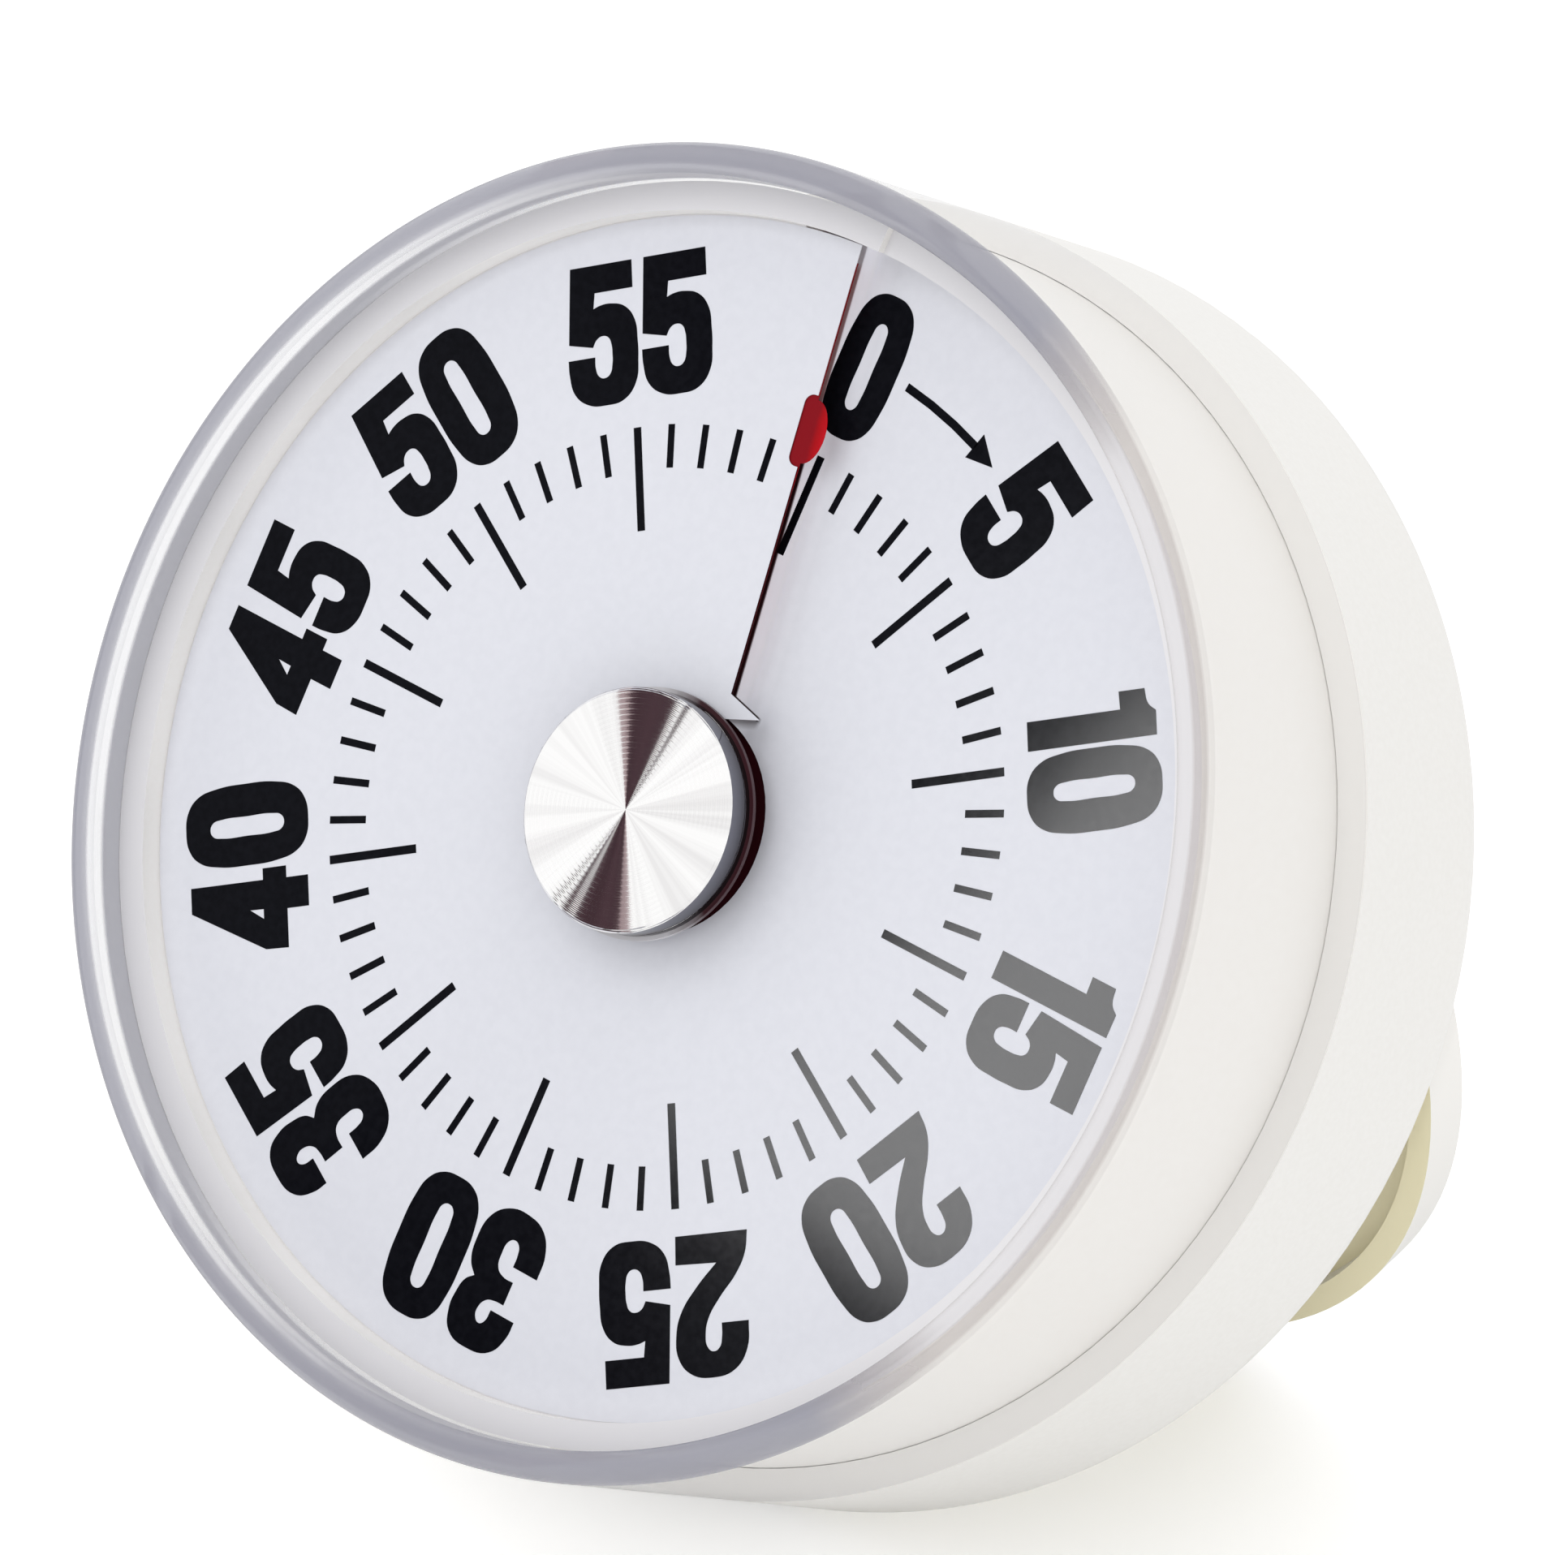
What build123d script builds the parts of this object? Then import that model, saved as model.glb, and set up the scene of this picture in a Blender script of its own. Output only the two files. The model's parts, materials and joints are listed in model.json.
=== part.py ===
from build123d import *
import os
from math import acos, atan2, ceil, cos, degrees, hypot, radians, sin

# A round visual countdown timer that leans back on a folding stand.
# Every piece is drawn in the dial's frame: origin at the dial's centre, X towards minute 15,
# Y towards minute 0, Z out of the dial. All are then tilted together onto the table.
# Lengths are in millimetres, angles in degrees.

# Case
CASE_R = 40.0            # outer radius, the same from front to back
RIM_FRONT = 5.0          # front edge of the clear rim
SEAM_Z = -14.4           # rear end of the clear rim
SEAM_GAP = 0.15          # open line between the clear rim and the rear case
BACK_Z = -29.5           # flat back of the case
RIM_WALL = 2.0           # clear rim
RIM_ROUND = 1.2          # its outer front edge
RIM_BREAK = 0.4          # its inner front edge
SHELL_WALL = 2.0         # side wall of the rear case
BACK_WALL = 2.0          # its back
BACK_ROUND = 2.0         # its outer back edge
SLIP = 0.05              # gap round pieces that slip into each other
PLAY = 0.3               # gap round pieces that must not touch

# White body inside the clear rim
RING_FRONT = 1.9         # mean height of the ring round the dial
RING_STEP = 0.6          # climb of that ring in one turn
RING_WIDTH = 1.75
LEDGE = 1.0              # shelf under the dial's outer edge
BODY_WALL = 1.6
SPIGOT_END = -17.0       # how far the body reaches into the rear case
FLOOR_TOP = -2.3
FLOOR = 1.5              # thickness of the floor behind the dial

# Dial and red disc: two films that pass through each other at a slit
PITCH = 1.8              # climb of both films in one turn
RAIL_STEP = 15.0         # step between the points that a film's edges are drawn through
DIAL_THICK = 0.06
RED_THICK = 0.04
FILM_GAP = 0.025         # gap between the two films
DIAL_GAP = 0.1           # gap between the dial's edge and the ring
DIAL_HOLE_R = 7.1
RED_GAP = 0.2            # gap between the red disc's edge and the ledge
DIAL_START = -10.0       # where the dial's lower end starts, clockwise from minute 0
RED_START = 8.0          # where the red disc's hidden end starts
LIP_END = 34.0           # how far the films are drawn past minute 0 before they are trimmed
LIP_KINK = (1.88, 8.67)  # the lip runs straight from here ...
LIP_OUT = (-2.05, 35.94)  # ... to here, at the rim
BEAK_TIP = (4.5, 8.05)   # point of the lip beside the hub
BEAK_HEEL = (0.93, 6.69)
HOLE_CUT = (0.0, 6.34)   # where the lip's edge runs out into the hub hole
RED_PROUD = 0.05         # how far the red edge stands out past the lip
TAB_MIDDLE = 24.7        # along Y
TAB_LENGTH = 3.9
TAB_PROUD = 1.2          # how far the red tab stands out past the lip
NOTCH_LENGTH = 4.4
NOTCH_DEPTH = 0.8
NOTCH_ROUND = 0.6

# Knob and hub
KNOB_R = 7.35
KNOB_FRONT = 3.7
KNOB_EDGE = 0.2
GROOVE_Z = 2.05
GROOVE_HEIGHT = 0.14
GROOVE_DEPTH = 0.15
COLLAR_R = 7.6
COLLAR_FRONT = 1.6
COLLAR_BACK = 1.3
KNOB_SKIN = 0.8          # metal left in front of the arbor
HUB_R = 6.2
HUB_BACK = -1.7
FLANGE_R = 6.9
FLANGE_THICK = 0.5

# Stand
FLAP_INSET = 3.0         # from the case's side to the stand's round edge
POCKET_GAP = 0.3         # open line round the folded stand
HINGE_Y = 10.0
FLAP_THICK = 3.1
FLAP_SKIN = 1.5
FLAP_RIM = 1.6
FLAP_CUT = 3.0           # flat lower edge, with a finger gap below it
POCKET_WALL = 1.5
PIN_R = 1.0
PIN_GRIP = 4.0           # length of each hinge pin in the stand
PIN_SEAT = 2.0           # its length in the case
OPEN_ANGLE = 45.0
FOOT_CUT = 1.5           # flat cut on the case's lower back edge

# Case screws, magnets
POST_INSET = 0.85        # from the body's side wall to each screw post
SCREW_ANGLES = (30.0, 150.0, 225.0, 315.0)
SCREW_R = 1.2
SCREW_LENGTH = 11.0
SCREW_HEAD_R = 2.3
SCREW_HEAD = 1.6
SCREW_SEAT = -23.5
SLOT_WIDTH = 0.6
SLOT_DEPTH = 0.7
BOSS_R = 4.0
POST_R = 3.0
POST_END = -19.4
MAGNET_R = 6.0
MAGNET_THICK = 2.4
MAGNET_ANGLES = (64.3, 115.7)
MAGNET_INSET = 0.8       # from the case's side wall to each magnet's cup
MAGNET_RECESS = 0.1
MAGNET_WALL = 1.2

# Movement
PLATE_GAP = 1.5          # between the plates' edge and the screw posts
PLATE = 1.0
FRONT_PLATE_Z = -5.5     # front face of the front plate
BACK_PLATE_Z = -18.0     # front face of the back plate
PILLAR_R = 1.5
PILLAR_INSET = 2.5       # from the plates' edge to each pillar's middle
PILLAR_ANGLES = (62.0, 118.0, 242.0, 298.0)
PILLAR_THREAD_R = 0.95
PILLAR_HEAD_R = 1.9
PILLAR_HEAD = 0.9
FIX_ANGLES = (90.0, 210.0, 330.0)
FIX_R = 1.0
FIX_HEAD_R = 1.8
FIX_HEAD = 1.0
FIX_BOSS_R = 2.4
FIX_LENGTH = 2.9
MAIN_ARBOR_R = 2.0
ARBOR_R = 0.8
END_FLUSH = 0.1          # how far each arbor's end stays inside its plate
TOOTH_SHARE = 0.36       # tooth width at the pitch circle, as a share of the pitch
TIP_SHARE = 0.16
ADDENDUM = 0.65          # in modules
DEDENDUM = 0.95
GREAT_TEETH = 45
GREAT_MODULE = 0.65
GREAT_Z = -7.6
GREAT_THICK = 1.0
SECOND_LEAVES = 9
SECOND_TEETH = 40
SECOND_MODULE = 0.45
SECOND_Z = -15.0
SECOND_AT = 180.0        # direction of the second arbor from the centre
THIRD_LEAVES = 8
THIRD_TEETH = 40
THIRD_MODULE = 0.35
THIRD_Z = -16.6
THIRD_AT = -70.0         # direction of the third arbor from the second
ESCAPE_LEAVES = 8
ESCAPE_TEETH = 15
ESCAPE_R = 4.0
ESCAPE_DEPTH = 1.1
ESCAPE_LEAN = 0.75       # how far a tooth leans over, in tooth steps
SAW_TIP = 0.1            # width of its tip, in tooth steps
ESCAPE_Z = -12.6
ESCAPE_AT = -45.0        # direction of the escape arbor from the third
WHEEL = 0.7              # thickness of the smaller wheels
SPOKE = 1.0              # width of a wheel's spokes
HUB_WALL = 1.4           # ring left round a wheel's bore
TOOTH_RING = 1.2         # ring left inside a wheel's teeth
GREAT_HUB_R = 6.1        # the great wheel's hub carries the ratchet
PINION_PROUD = 0.4       # how far a pinion stands out past its wheel, each side
BALANCE_AWAY = 6.9
BALANCE_AT = -15.0
BALANCE_R = 5.5
BALANCE_RIM = 0.9
BALANCE_Z = -9.6
PALLET_SPREAD = 40.0
PALLET_GAP = 0.45        # gap between the pallet pins and the wheel's tips
PALLET_PIN_R = 0.25
SPRING_IN = 2.6
SPRING_TURNS = 3
SPRING_PITCH = 1.65
SPRING_THICK = 0.4
SPRING_Z = -9.7
SPRING_WIDTH = 4.4
RATCHET_R = 4.6
RATCHET_DEPTH = 0.9
RATCHET_LEAN = 0.85
RATCHET_TEETH = 12
RATCHET_Z = -8.6
CLICK_AT = 9.0
CLICK_HALF = 1.2         # half its width at the stud
CLICK_STUD_R = 1.4
CLICK_RISE = 2.2         # how far its point stands to one side
CAM_R = 4.5
CAM_DROP = 1.8
CAM_RAMP = 2.4
CAM_Z = -16.4
CAM_THICK = 0.8

# Bell and hammer
BELL_R = 20.0
BELL_RIM_Z = -20.0
BELL_CROWN_Z = -23.4
BELL_WALL = 0.8
BELL_SLOPE = 2.4         # slanted shoulder between its crown and its side
BELL_POST_R = 2.5
BELL_SCREW_R = 1.0
BELL_HEAD_R = 2.2
BELL_HEAD = 0.9
HAMMER_AT = (20.5, 14.3)
HAMMER_HEAD_R = 1.6
HAMMER_ANGLE = -5.0      # direction of the hammer's head from the centre
HAMMER_GAP = 0.4
HAMMER_ARM = 0.7
HAMMER_WIDTH = 2.0
TAIL_GAP = 0.5

# Sizes that follow from those above
RIM_IN = CASE_R - RIM_WALL
BODY_R = RIM_IN - SLIP
RING_IN = BODY_R - RING_WIDTH
LEDGE_IN = RING_IN - LEDGE
RED_R = LEDGE_IN - RED_GAP
BODY_IN = BODY_R - BODY_WALL
SCREW_CIRCLE = BODY_IN - POST_INSET - POST_R
PLATE_R = SCREW_CIRCLE - POST_R - PLATE_GAP
FIX_CIRCLE = PLATE_R - FIX_BOSS_R
FLOOR_UNDER = FLOOR_TOP - FLOOR
REAR_FRONT = SEAM_Z - SEAM_GAP
REAR_IN = CASE_R - SHELL_WALL
MAGNET_CIRCLE = REAR_IN - MAGNET_INSET - MAGNET_WALL - MAGNET_R
FLAP_R = CASE_R - FLAP_INSET
FLAP_BOTTOM = FLAP_CUT - FLAP_R
BACK_INNER = BACK_Z + BACK_WALL
FLAP_INNER = BACK_Z + FLAP_THICK
POCKET_R = FLAP_R + POCKET_GAP
POCKET_FLOOR = FLAP_INNER + POCKET_GAP
POCKET_INNER = POCKET_FLOOR + POCKET_WALL
HINGE_Z = BACK_Z + FLAP_THICK / 2
POCKET_TOP = HINGE_Y + FLAP_THICK / 2 + POCKET_GAP
FILM_LIFT = PITCH / 2


def drum(x, y, radius, z_low, z_high):
    """Upright cylinder between two heights."""
    return Pos(x, y, (z_low + z_high) / 2) * Cylinder(radius, z_high - z_low)


def turned(corners):
    """Solid of revolution about the dial's axis, from corners given as (radius, height)."""
    return revolve(Plane.XZ * make_face(Polyline(*corners, close=True)), Axis.Z)


def prism(outline, z_low, z_high):
    """Flat outline raised between two heights."""
    return Pos(0, 0, z_low) * extrude(outline, z_high - z_low)


def polar(radius, angle):
    """Point at a radius and at an angle from X."""
    return (radius * cos(radians(angle)), radius * sin(radians(angle)))


def ramp(start, end, r_in, r_out, pitch, middle, thickness):
    """Sheet that climbs clockwise; middle is the height of its underside half a turn from minute 0."""
    climb = pitch * (end - start) / 360
    steps = ceil((end - start) / RAIL_STEP)
    rails = []
    for radius in (r_in, r_out):
        rail = []
        for number in range(steps + 1):
            share = number / steps
            rail.append((*polar(radius, 90 - start - share * (end - start)), share * climb))
        rails.append(Edge.make_spline(rail))
    sheet = Solid.extrude(Face.make_surface_from_curves(*rails), Vector(0, 0, thickness))
    return Pos(0, 0, middle + pitch * (start / 360 - 0.5)) * sheet


def half_moon(radius, top, z_low, z_high):
    """Disc below the line y = top."""
    side = 2 * radius
    return prism(Circle(radius) & Pos(0, top - radius) * Rectangle(side, side), z_low, z_high)


# ---- Clear rim, white body and rear case ----

def make_clear_rim():
    """Clear ring round the dial, its skirt reaching back over the white body."""
    rim = turned([(RIM_IN, SEAM_Z), (CASE_R, SEAM_Z), (CASE_R, RIM_FRONT), (RIM_IN, RIM_FRONT)])
    rim = fillet(rim.edges().group_by(Axis.Z)[-1].sort_by(SortBy.RADIUS)[-1], RIM_ROUND)
    return chamfer(rim.edges().group_by(Axis.Z)[-1].sort_by(SortBy.RADIUS)[0], RIM_BREAK)


def make_front_body():
    """White ring, helical shelf, floor and spigot, with posts for the screws."""
    ledge_top = FILM_LIFT
    ring_top = RING_FRONT + RING_STEP
    body = turned([
        (MAIN_ARBOR_R + PLAY, FLOOR_TOP), (LEDGE_IN, FLOOR_TOP), (LEDGE_IN, ledge_top),
        (RING_IN, ledge_top), (RING_IN, ring_top), (BODY_R, ring_top), (BODY_R, SPIGOT_END),
        (BODY_IN, SPIGOT_END), (BODY_IN, FLOOR_UNDER), (MAIN_ARBOR_R + PLAY, FLOOR_UNDER),
    ])
    for start in (0, 180):
        shelf_start = DIAL_START + start
        over_shelf = ramp(shelf_start, shelf_start + 180, LEDGE_IN - LEDGE, CASE_R, PITCH,
                          -DIAL_THICK, 2 * PITCH)
        body -= over_shelf & drum(0, 0, RING_IN, FLOOR_TOP, ring_top)
        body -= ramp(start, start + 180, RING_IN - SLIP, CASE_R, RING_STEP, RING_FRONT, 3 * RING_STEP)
    for angle in SCREW_ANGLES:
        x, y = polar(SCREW_CIRCLE, angle)
        body += drum(x, y, POST_R, POST_END, FLOOR_UNDER)
        body -= drum(x, y, SCREW_R, POST_END, SCREW_SEAT + SCREW_LENGTH)
    for angle in FIX_ANGLES:
        x, y = polar(FIX_CIRCLE, angle)
        body += drum(x, y, FIX_BOSS_R, FRONT_PLATE_Z, FLOOR_UNDER)
        body -= drum(x, y, FIX_R, FRONT_PLATE_Z, FRONT_PLATE_Z - PLATE + FIX_LENGTH)
    return body


def make_rear_case():
    """Rear cup with the stand's pocket, screw bosses, hinge holes, magnet cups and a flat foot."""
    case = turned([
        (0, BACK_Z), (CASE_R, BACK_Z), (CASE_R, REAR_FRONT),
        (REAR_IN, REAR_FRONT), (REAR_IN, BACK_INNER), (0, BACK_INNER),
    ])
    back_edges = case.edges().group_by(Axis.Z)[0]
    case = fillet(back_edges.sort_by(SortBy.RADIUS)[-1], BACK_ROUND)
    case += half_moon(REAR_IN + SLIP, POCKET_TOP + POCKET_WALL, BACK_INNER, POCKET_INNER)
    for x, y in magnet_places():
        case += drum(x, y, MAGNET_R + MAGNET_WALL, BACK_INNER, magnet_front() + MAGNET_WALL)
    for angle in SCREW_ANGLES:
        x, y = polar(SCREW_CIRCLE, angle)
        case += drum(x, y, BOSS_R, BACK_INNER, POST_END)
    case -= half_moon(POCKET_R, POCKET_TOP, BACK_Z, POCKET_FLOOR)
    for x, y in magnet_places():
        case -= drum(x, y, MAGNET_R + SLIP, BACK_Z, magnet_front())
    for angle in SCREW_ANGLES:
        x, y = polar(SCREW_CIRCLE, angle)
        case -= drum(x, y, SCREW_R + PLAY, SCREW_SEAT, POST_END)
        case -= drum(x, y, SCREW_HEAD_R + PLAY, BACK_Z, SCREW_SEAT)
    for hole in hinge_pins(SLIP):
        case -= hole
    return case - table_block()


def magnet_places():
    return [polar(MAGNET_CIRCLE, angle) for angle in MAGNET_ANGLES]


def magnet_front():
    return BACK_Z + MAGNET_RECESS + MAGNET_THICK


def make_case_screws():
    """Four slotted screws from the back into the white body's posts."""
    screws = []
    for angle in SCREW_ANGLES:
        x, y = polar(SCREW_CIRCLE, angle)
        tip = SCREW_SEAT + SCREW_LENGTH - SLIP
        screw = drum(x, y, SCREW_R, SCREW_SEAT, tip)
        screw += drum(x, y, SCREW_HEAD_R, SCREW_SEAT - SCREW_HEAD, SCREW_SEAT)
        slot = Box(2 * SCREW_HEAD_R, SLOT_WIDTH, SLOT_DEPTH)
        slot_z = SCREW_SEAT - SCREW_HEAD + SLOT_DEPTH / 2
        screws.append(screw - Pos(x, y, slot_z) * Rot(0, 0, angle) * slot)
    return screws


def make_magnets():
    """Two round magnets set in the upper back."""
    return [drum(x, y, MAGNET_R, BACK_Z + MAGNET_RECESS, magnet_front()) for x, y in magnet_places()]


# ---- Dial and red disc ----

def lip_x(y):
    """Where the lip's straight edge lies at a height on the dial."""
    (x_low, y_low), (x_high, y_high) = LIP_KINK, LIP_OUT
    return x_low + (x_high - x_low) * (y - y_low) / (y_high - y_low)


def lip_tilt():
    return degrees(atan2(LIP_KINK[0] - LIP_OUT[0], LIP_OUT[1] - LIP_KINK[1]))


def beyond_lip(proud, beak):
    """Outline of all that lies clockwise of the lip, where the upper film end is cut away."""
    top, far = CASE_R, CASE_R
    edge = [(lip_x(top) + proud, top), (lip_x(LIP_KINK[1]) + proud, LIP_KINK[1])]
    if beak:
        edge += [BEAK_TIP, BEAK_HEEL, HOLE_CUT, (0.0, 0.0)]
    else:
        edge += [(lip_x(0) + proud, 0.0)]
    return make_face(Polyline(*edge, (far, 0.0), (far, top), close=True))


def at_lip(y, outline):
    """Outline placed on the lip, turned to lie along it."""
    return Pos(lip_x(y), y) * Rot(0, 0, lip_tilt()) * outline


def make_dial_sheet():
    """White dial: one climbing turn of film whose upper end is the lip of the slit."""
    outer = RING_IN - DIAL_GAP
    film = ramp(DIAL_START, 360 + LIP_END, DIAL_HOLE_R, outer, PITCH, -DIAL_THICK, DIAL_THICK)
    notch = RectangleRounded(2 * NOTCH_DEPTH, NOTCH_LENGTH, NOTCH_ROUND)
    film -= prism(beyond_lip(0, True), 0, PITCH)
    return film - prism(at_lip(TAB_MIDDLE, notch), 0, PITCH)


def make_red_disc():
    """Red disc: a climbing turn of film under the dial, its tab just out past the lip."""
    middle = -DIAL_THICK - FILM_GAP - RED_THICK
    film = ramp(RED_START, 360 + LIP_END, HUB_R, RED_R, PITCH, middle, RED_THICK)
    tab = Ellipse(TAB_PROUD, TAB_LENGTH / 2)
    cut = beyond_lip(RED_PROUD, False) - at_lip(TAB_MIDDLE, tab)
    return film - prism(cut, 0, PITCH)


def make_disc_hub():
    """Red hub with the climbing flange that carries the red disc."""
    middle = -DIAL_THICK - FILM_GAP - RED_THICK - FLANGE_THICK
    hub = drum(0, 0, HUB_R, HUB_BACK, COLLAR_BACK)
    hub += ramp(0, 360, HUB_R - FLANGE_THICK, FLANGE_R, PITCH, middle, FLANGE_THICK)
    return hub - drum(0, 0, MAIN_ARBOR_R, HUB_BACK, COLLAR_BACK)


def make_knob():
    """Turned metal knob with a fine groove low on its side."""
    knob = drum(0, 0, KNOB_R, COLLAR_FRONT, KNOB_FRONT)
    knob = chamfer(knob.edges().group_by(Axis.Z)[-1], KNOB_EDGE)
    knob -= turned([
        (KNOB_R - GROOVE_DEPTH, GROOVE_Z), (KNOB_R + GROOVE_DEPTH, GROOVE_Z),
        (KNOB_R + GROOVE_DEPTH, GROOVE_Z + GROOVE_HEIGHT),
        (KNOB_R - GROOVE_DEPTH, GROOVE_Z + GROOVE_HEIGHT),
    ])
    return knob - drum(0, 0, MAIN_ARBOR_R, COLLAR_FRONT, KNOB_FRONT - KNOB_SKIN)


def make_knob_collar():
    """Thin light washer under the knob."""
    collar = drum(0, 0, COLLAR_R, COLLAR_BACK, COLLAR_FRONT)
    return collar - drum(0, 0, MAIN_ARBOR_R, COLLAR_BACK, COLLAR_FRONT)


# ---- Stand ----

def opened(shape):
    """Turn a folded stand piece about the hinge to its open position."""
    hinge = Pos(0, HINGE_Y, HINGE_Z)
    return hinge * Rot(OPEN_ANGLE, 0, 0) * hinge.inverse() * shape


def opened_point(y, z):
    """Where a point of the folded stand lies when it is open."""
    turn = radians(OPEN_ANGLE)
    dy, dz = y - HINGE_Y, z - HINGE_Z
    return HINGE_Y + dy * cos(turn) - dz * sin(turn), HINGE_Z + dy * sin(turn) + dz * cos(turn)


def make_stand_flap():
    """Half-moon flap with a dished inner face and a round hinge edge, open."""
    flap = half_moon(FLAP_R, HINGE_Y, BACK_Z, FLAP_INNER)
    below = Box(2 * FLAP_R, FLAP_R + FLAP_BOTTOM, FLAP_THICK)
    flap -= Pos(0, (FLAP_BOTTOM - FLAP_R) / 2, HINGE_Z) * below
    flap += Pos(0, HINGE_Y, HINGE_Z) * Rot(0, 90, 0) * Cylinder(FLAP_THICK / 2, 2 * half_chord(FLAP_R))
    dish = half_moon(FLAP_R - FLAP_RIM, HINGE_Y - FLAP_THICK, BACK_Z + FLAP_SKIN, FLAP_INNER)
    dish -= Pos(0, (FLAP_BOTTOM + FLAP_RIM - FLAP_R) / 2, HINGE_Z) * Box(
        2 * FLAP_R, FLAP_R + FLAP_BOTTOM + FLAP_RIM, FLAP_THICK)
    flap -= dish
    for pin in hinge_pins(0):
        flap -= pin
    return opened(flap)


def half_chord(radius):
    """Half the width of a round edge of that radius, at the top of the hinge."""
    return (radius ** 2 - (HINGE_Y + FLAP_THICK / 2) ** 2) ** 0.5


def hinge_pins(gap):
    """The two hinge pins, or with a gap the holes they turn in."""
    start, end = half_chord(FLAP_R) - PIN_GRIP, half_chord(POCKET_R) + PIN_SEAT + gap
    pins = []
    for side in (-1, 1):
        pin = Rot(0, 90, 0) * Cylinder(PIN_R + gap, end - start)
        pins.append(Pos(side * (start + end) / 2, HINGE_Y, HINGE_Z) * pin)
    return pins


def lean():
    """Lean of the case's back, and the table's distance below the dial's centre."""
    foot_y, foot_z = opened_point(FLAP_BOTTOM, FLAP_INNER)
    along, behind = foot_y + CASE_R, foot_z - BACK_Z
    angle = degrees(atan2(behind, along) + acos(FOOT_CUT / hypot(along, behind)))
    drop = -(foot_y * cos(radians(angle)) + foot_z * sin(radians(angle)))
    return angle, drop


def table_block():
    """Block under the table top, in the dial's frame."""
    angle, drop = lean()
    side = 4 * CASE_R
    return Rot(angle, 0, 0) * Pos(0, -drop - side / 2, 0) * Box(side, side, side)


# ---- Movement ----

def second_place():
    reach = (GREAT_TEETH + SECOND_LEAVES) * GREAT_MODULE / 2
    return polar(reach, SECOND_AT)


def third_place():
    x, y = second_place()
    dx, dy = polar((SECOND_TEETH + THIRD_LEAVES) * SECOND_MODULE / 2, THIRD_AT)
    return x + dx, y + dy


def escape_place():
    x, y = third_place()
    dx, dy = polar((THIRD_TEETH + ESCAPE_LEAVES) * THIRD_MODULE / 2, ESCAPE_AT)
    return x + dx, y + dy


def balance_place():
    x, y = escape_place()
    dx, dy = polar(BALANCE_AWAY, BALANCE_AT)
    return x + dx, y + dy


def arbor_places():
    return [second_place(), third_place(), escape_place(), balance_place(), HAMMER_AT]


def arbor(place):
    """Straight steel arbor that runs in both plates."""
    low = BACK_PLATE_Z - PLATE + END_FLUSH
    return drum(*place, ARBOR_R, low, FRONT_PLATE_Z - END_FLUSH)


def toothed(teeth, module, place, tooth_at, z_low, z_high, bore):
    """Straight-flanked wheel with one tooth centred on the direction tooth_at."""
    middle = teeth * module / 2
    root, tip = middle - DEDENDUM * module, middle + ADDENDUM * module
    step = 360 / teeth
    outline = []
    for number in range(teeth):
        centre = tooth_at + number * step
        outline.append(polar(root, centre - TOOTH_SHARE * step / 2))
        outline.append(polar(tip, centre - TIP_SHARE * step / 2))
        outline.append(polar(tip, centre + TIP_SHARE * step / 2))
        outline.append(polar(root, centre + TOOTH_SHARE * step / 2))
    wheel = make_face(Polyline(*outline, close=True)) - Circle(bore)
    return Pos(*place) * prism(wheel, z_low, z_high)


def windows(place, teeth, module, hub, z_low, z_high):
    """What is cut out of a wheel between its hub, its toothed ring and four spokes."""
    reach = teeth * module / 2 - DEDENDUM * module - TOOTH_RING
    cut = Circle(reach) - Circle(hub)
    for turn in (0, 90):
        cut -= Rot(0, 0, turn) * Rectangle(3 * reach, SPOKE)
    return Pos(*place) * prism(cut, z_low, z_high)


def make_plate(front):
    """Round brass plate with pivot holes."""
    plate = drum(0, 0, PLATE_R, front - PLATE, front)
    plate -= drum(0, 0, MAIN_ARBOR_R + SLIP, front - PLATE, front)
    for place in arbor_places():
        plate -= drum(*place, ARBOR_R + SLIP, front - PLATE, front)
    return plate


def make_front_plate():
    plate = make_plate(FRONT_PLATE_Z)
    for angle in FIX_ANGLES:
        x, y = polar(FIX_CIRCLE, angle)
        plate -= drum(x, y, FIX_R + SLIP, FRONT_PLATE_Z - PLATE, FRONT_PLATE_Z)
    return plate


def make_back_plate():
    plate = make_plate(BACK_PLATE_Z)
    for place in pillar_places():
        plate -= drum(*place, PILLAR_THREAD_R, BACK_PLATE_Z - PLATE, BACK_PLATE_Z)
    return plate


def pillar_places():
    return [polar(PLATE_R - PILLAR_INSET, angle) for angle in PILLAR_ANGLES]


def make_pillars():
    """Four pillars that hold the plates apart."""
    return [drum(*place, PILLAR_R, BACK_PLATE_Z, FRONT_PLATE_Z - PLATE) for place in pillar_places()]


def make_pillar_screws():
    """Flat-headed screws that close the back plate on the pillars."""
    low = BACK_PLATE_Z - PLATE
    screws = []
    for place in pillar_places():
        head = drum(*place, PILLAR_HEAD_R, low - PILLAR_HEAD, low)
        screws.append(head + drum(*place, PILLAR_THREAD_R, low, BACK_PLATE_Z))
    return screws


def make_movement_screws():
    """Three screws that hold the front plate to the white body."""
    under = FRONT_PLATE_Z - PLATE
    screws = []
    for angle in FIX_ANGLES:
        x, y = polar(FIX_CIRCLE, angle)
        head = drum(x, y, FIX_HEAD_R, under - FIX_HEAD, under)
        screws.append(head + drum(x, y, FIX_R, under, under + FIX_LENGTH - SLIP))
    return screws


def make_main_arbor():
    return drum(0, 0, MAIN_ARBOR_R, BACK_PLATE_Z - PLATE + END_FLUSH, KNOB_FRONT - KNOB_SKIN)


def make_great_wheel():
    low, high = GREAT_Z - GREAT_THICK, GREAT_Z
    wheel = toothed(GREAT_TEETH, GREAT_MODULE, (0, 0), SECOND_AT, low, high, MAIN_ARBOR_R)
    return wheel - windows((0, 0), GREAT_TEETH, GREAT_MODULE, GREAT_HUB_R, low, high)


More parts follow.
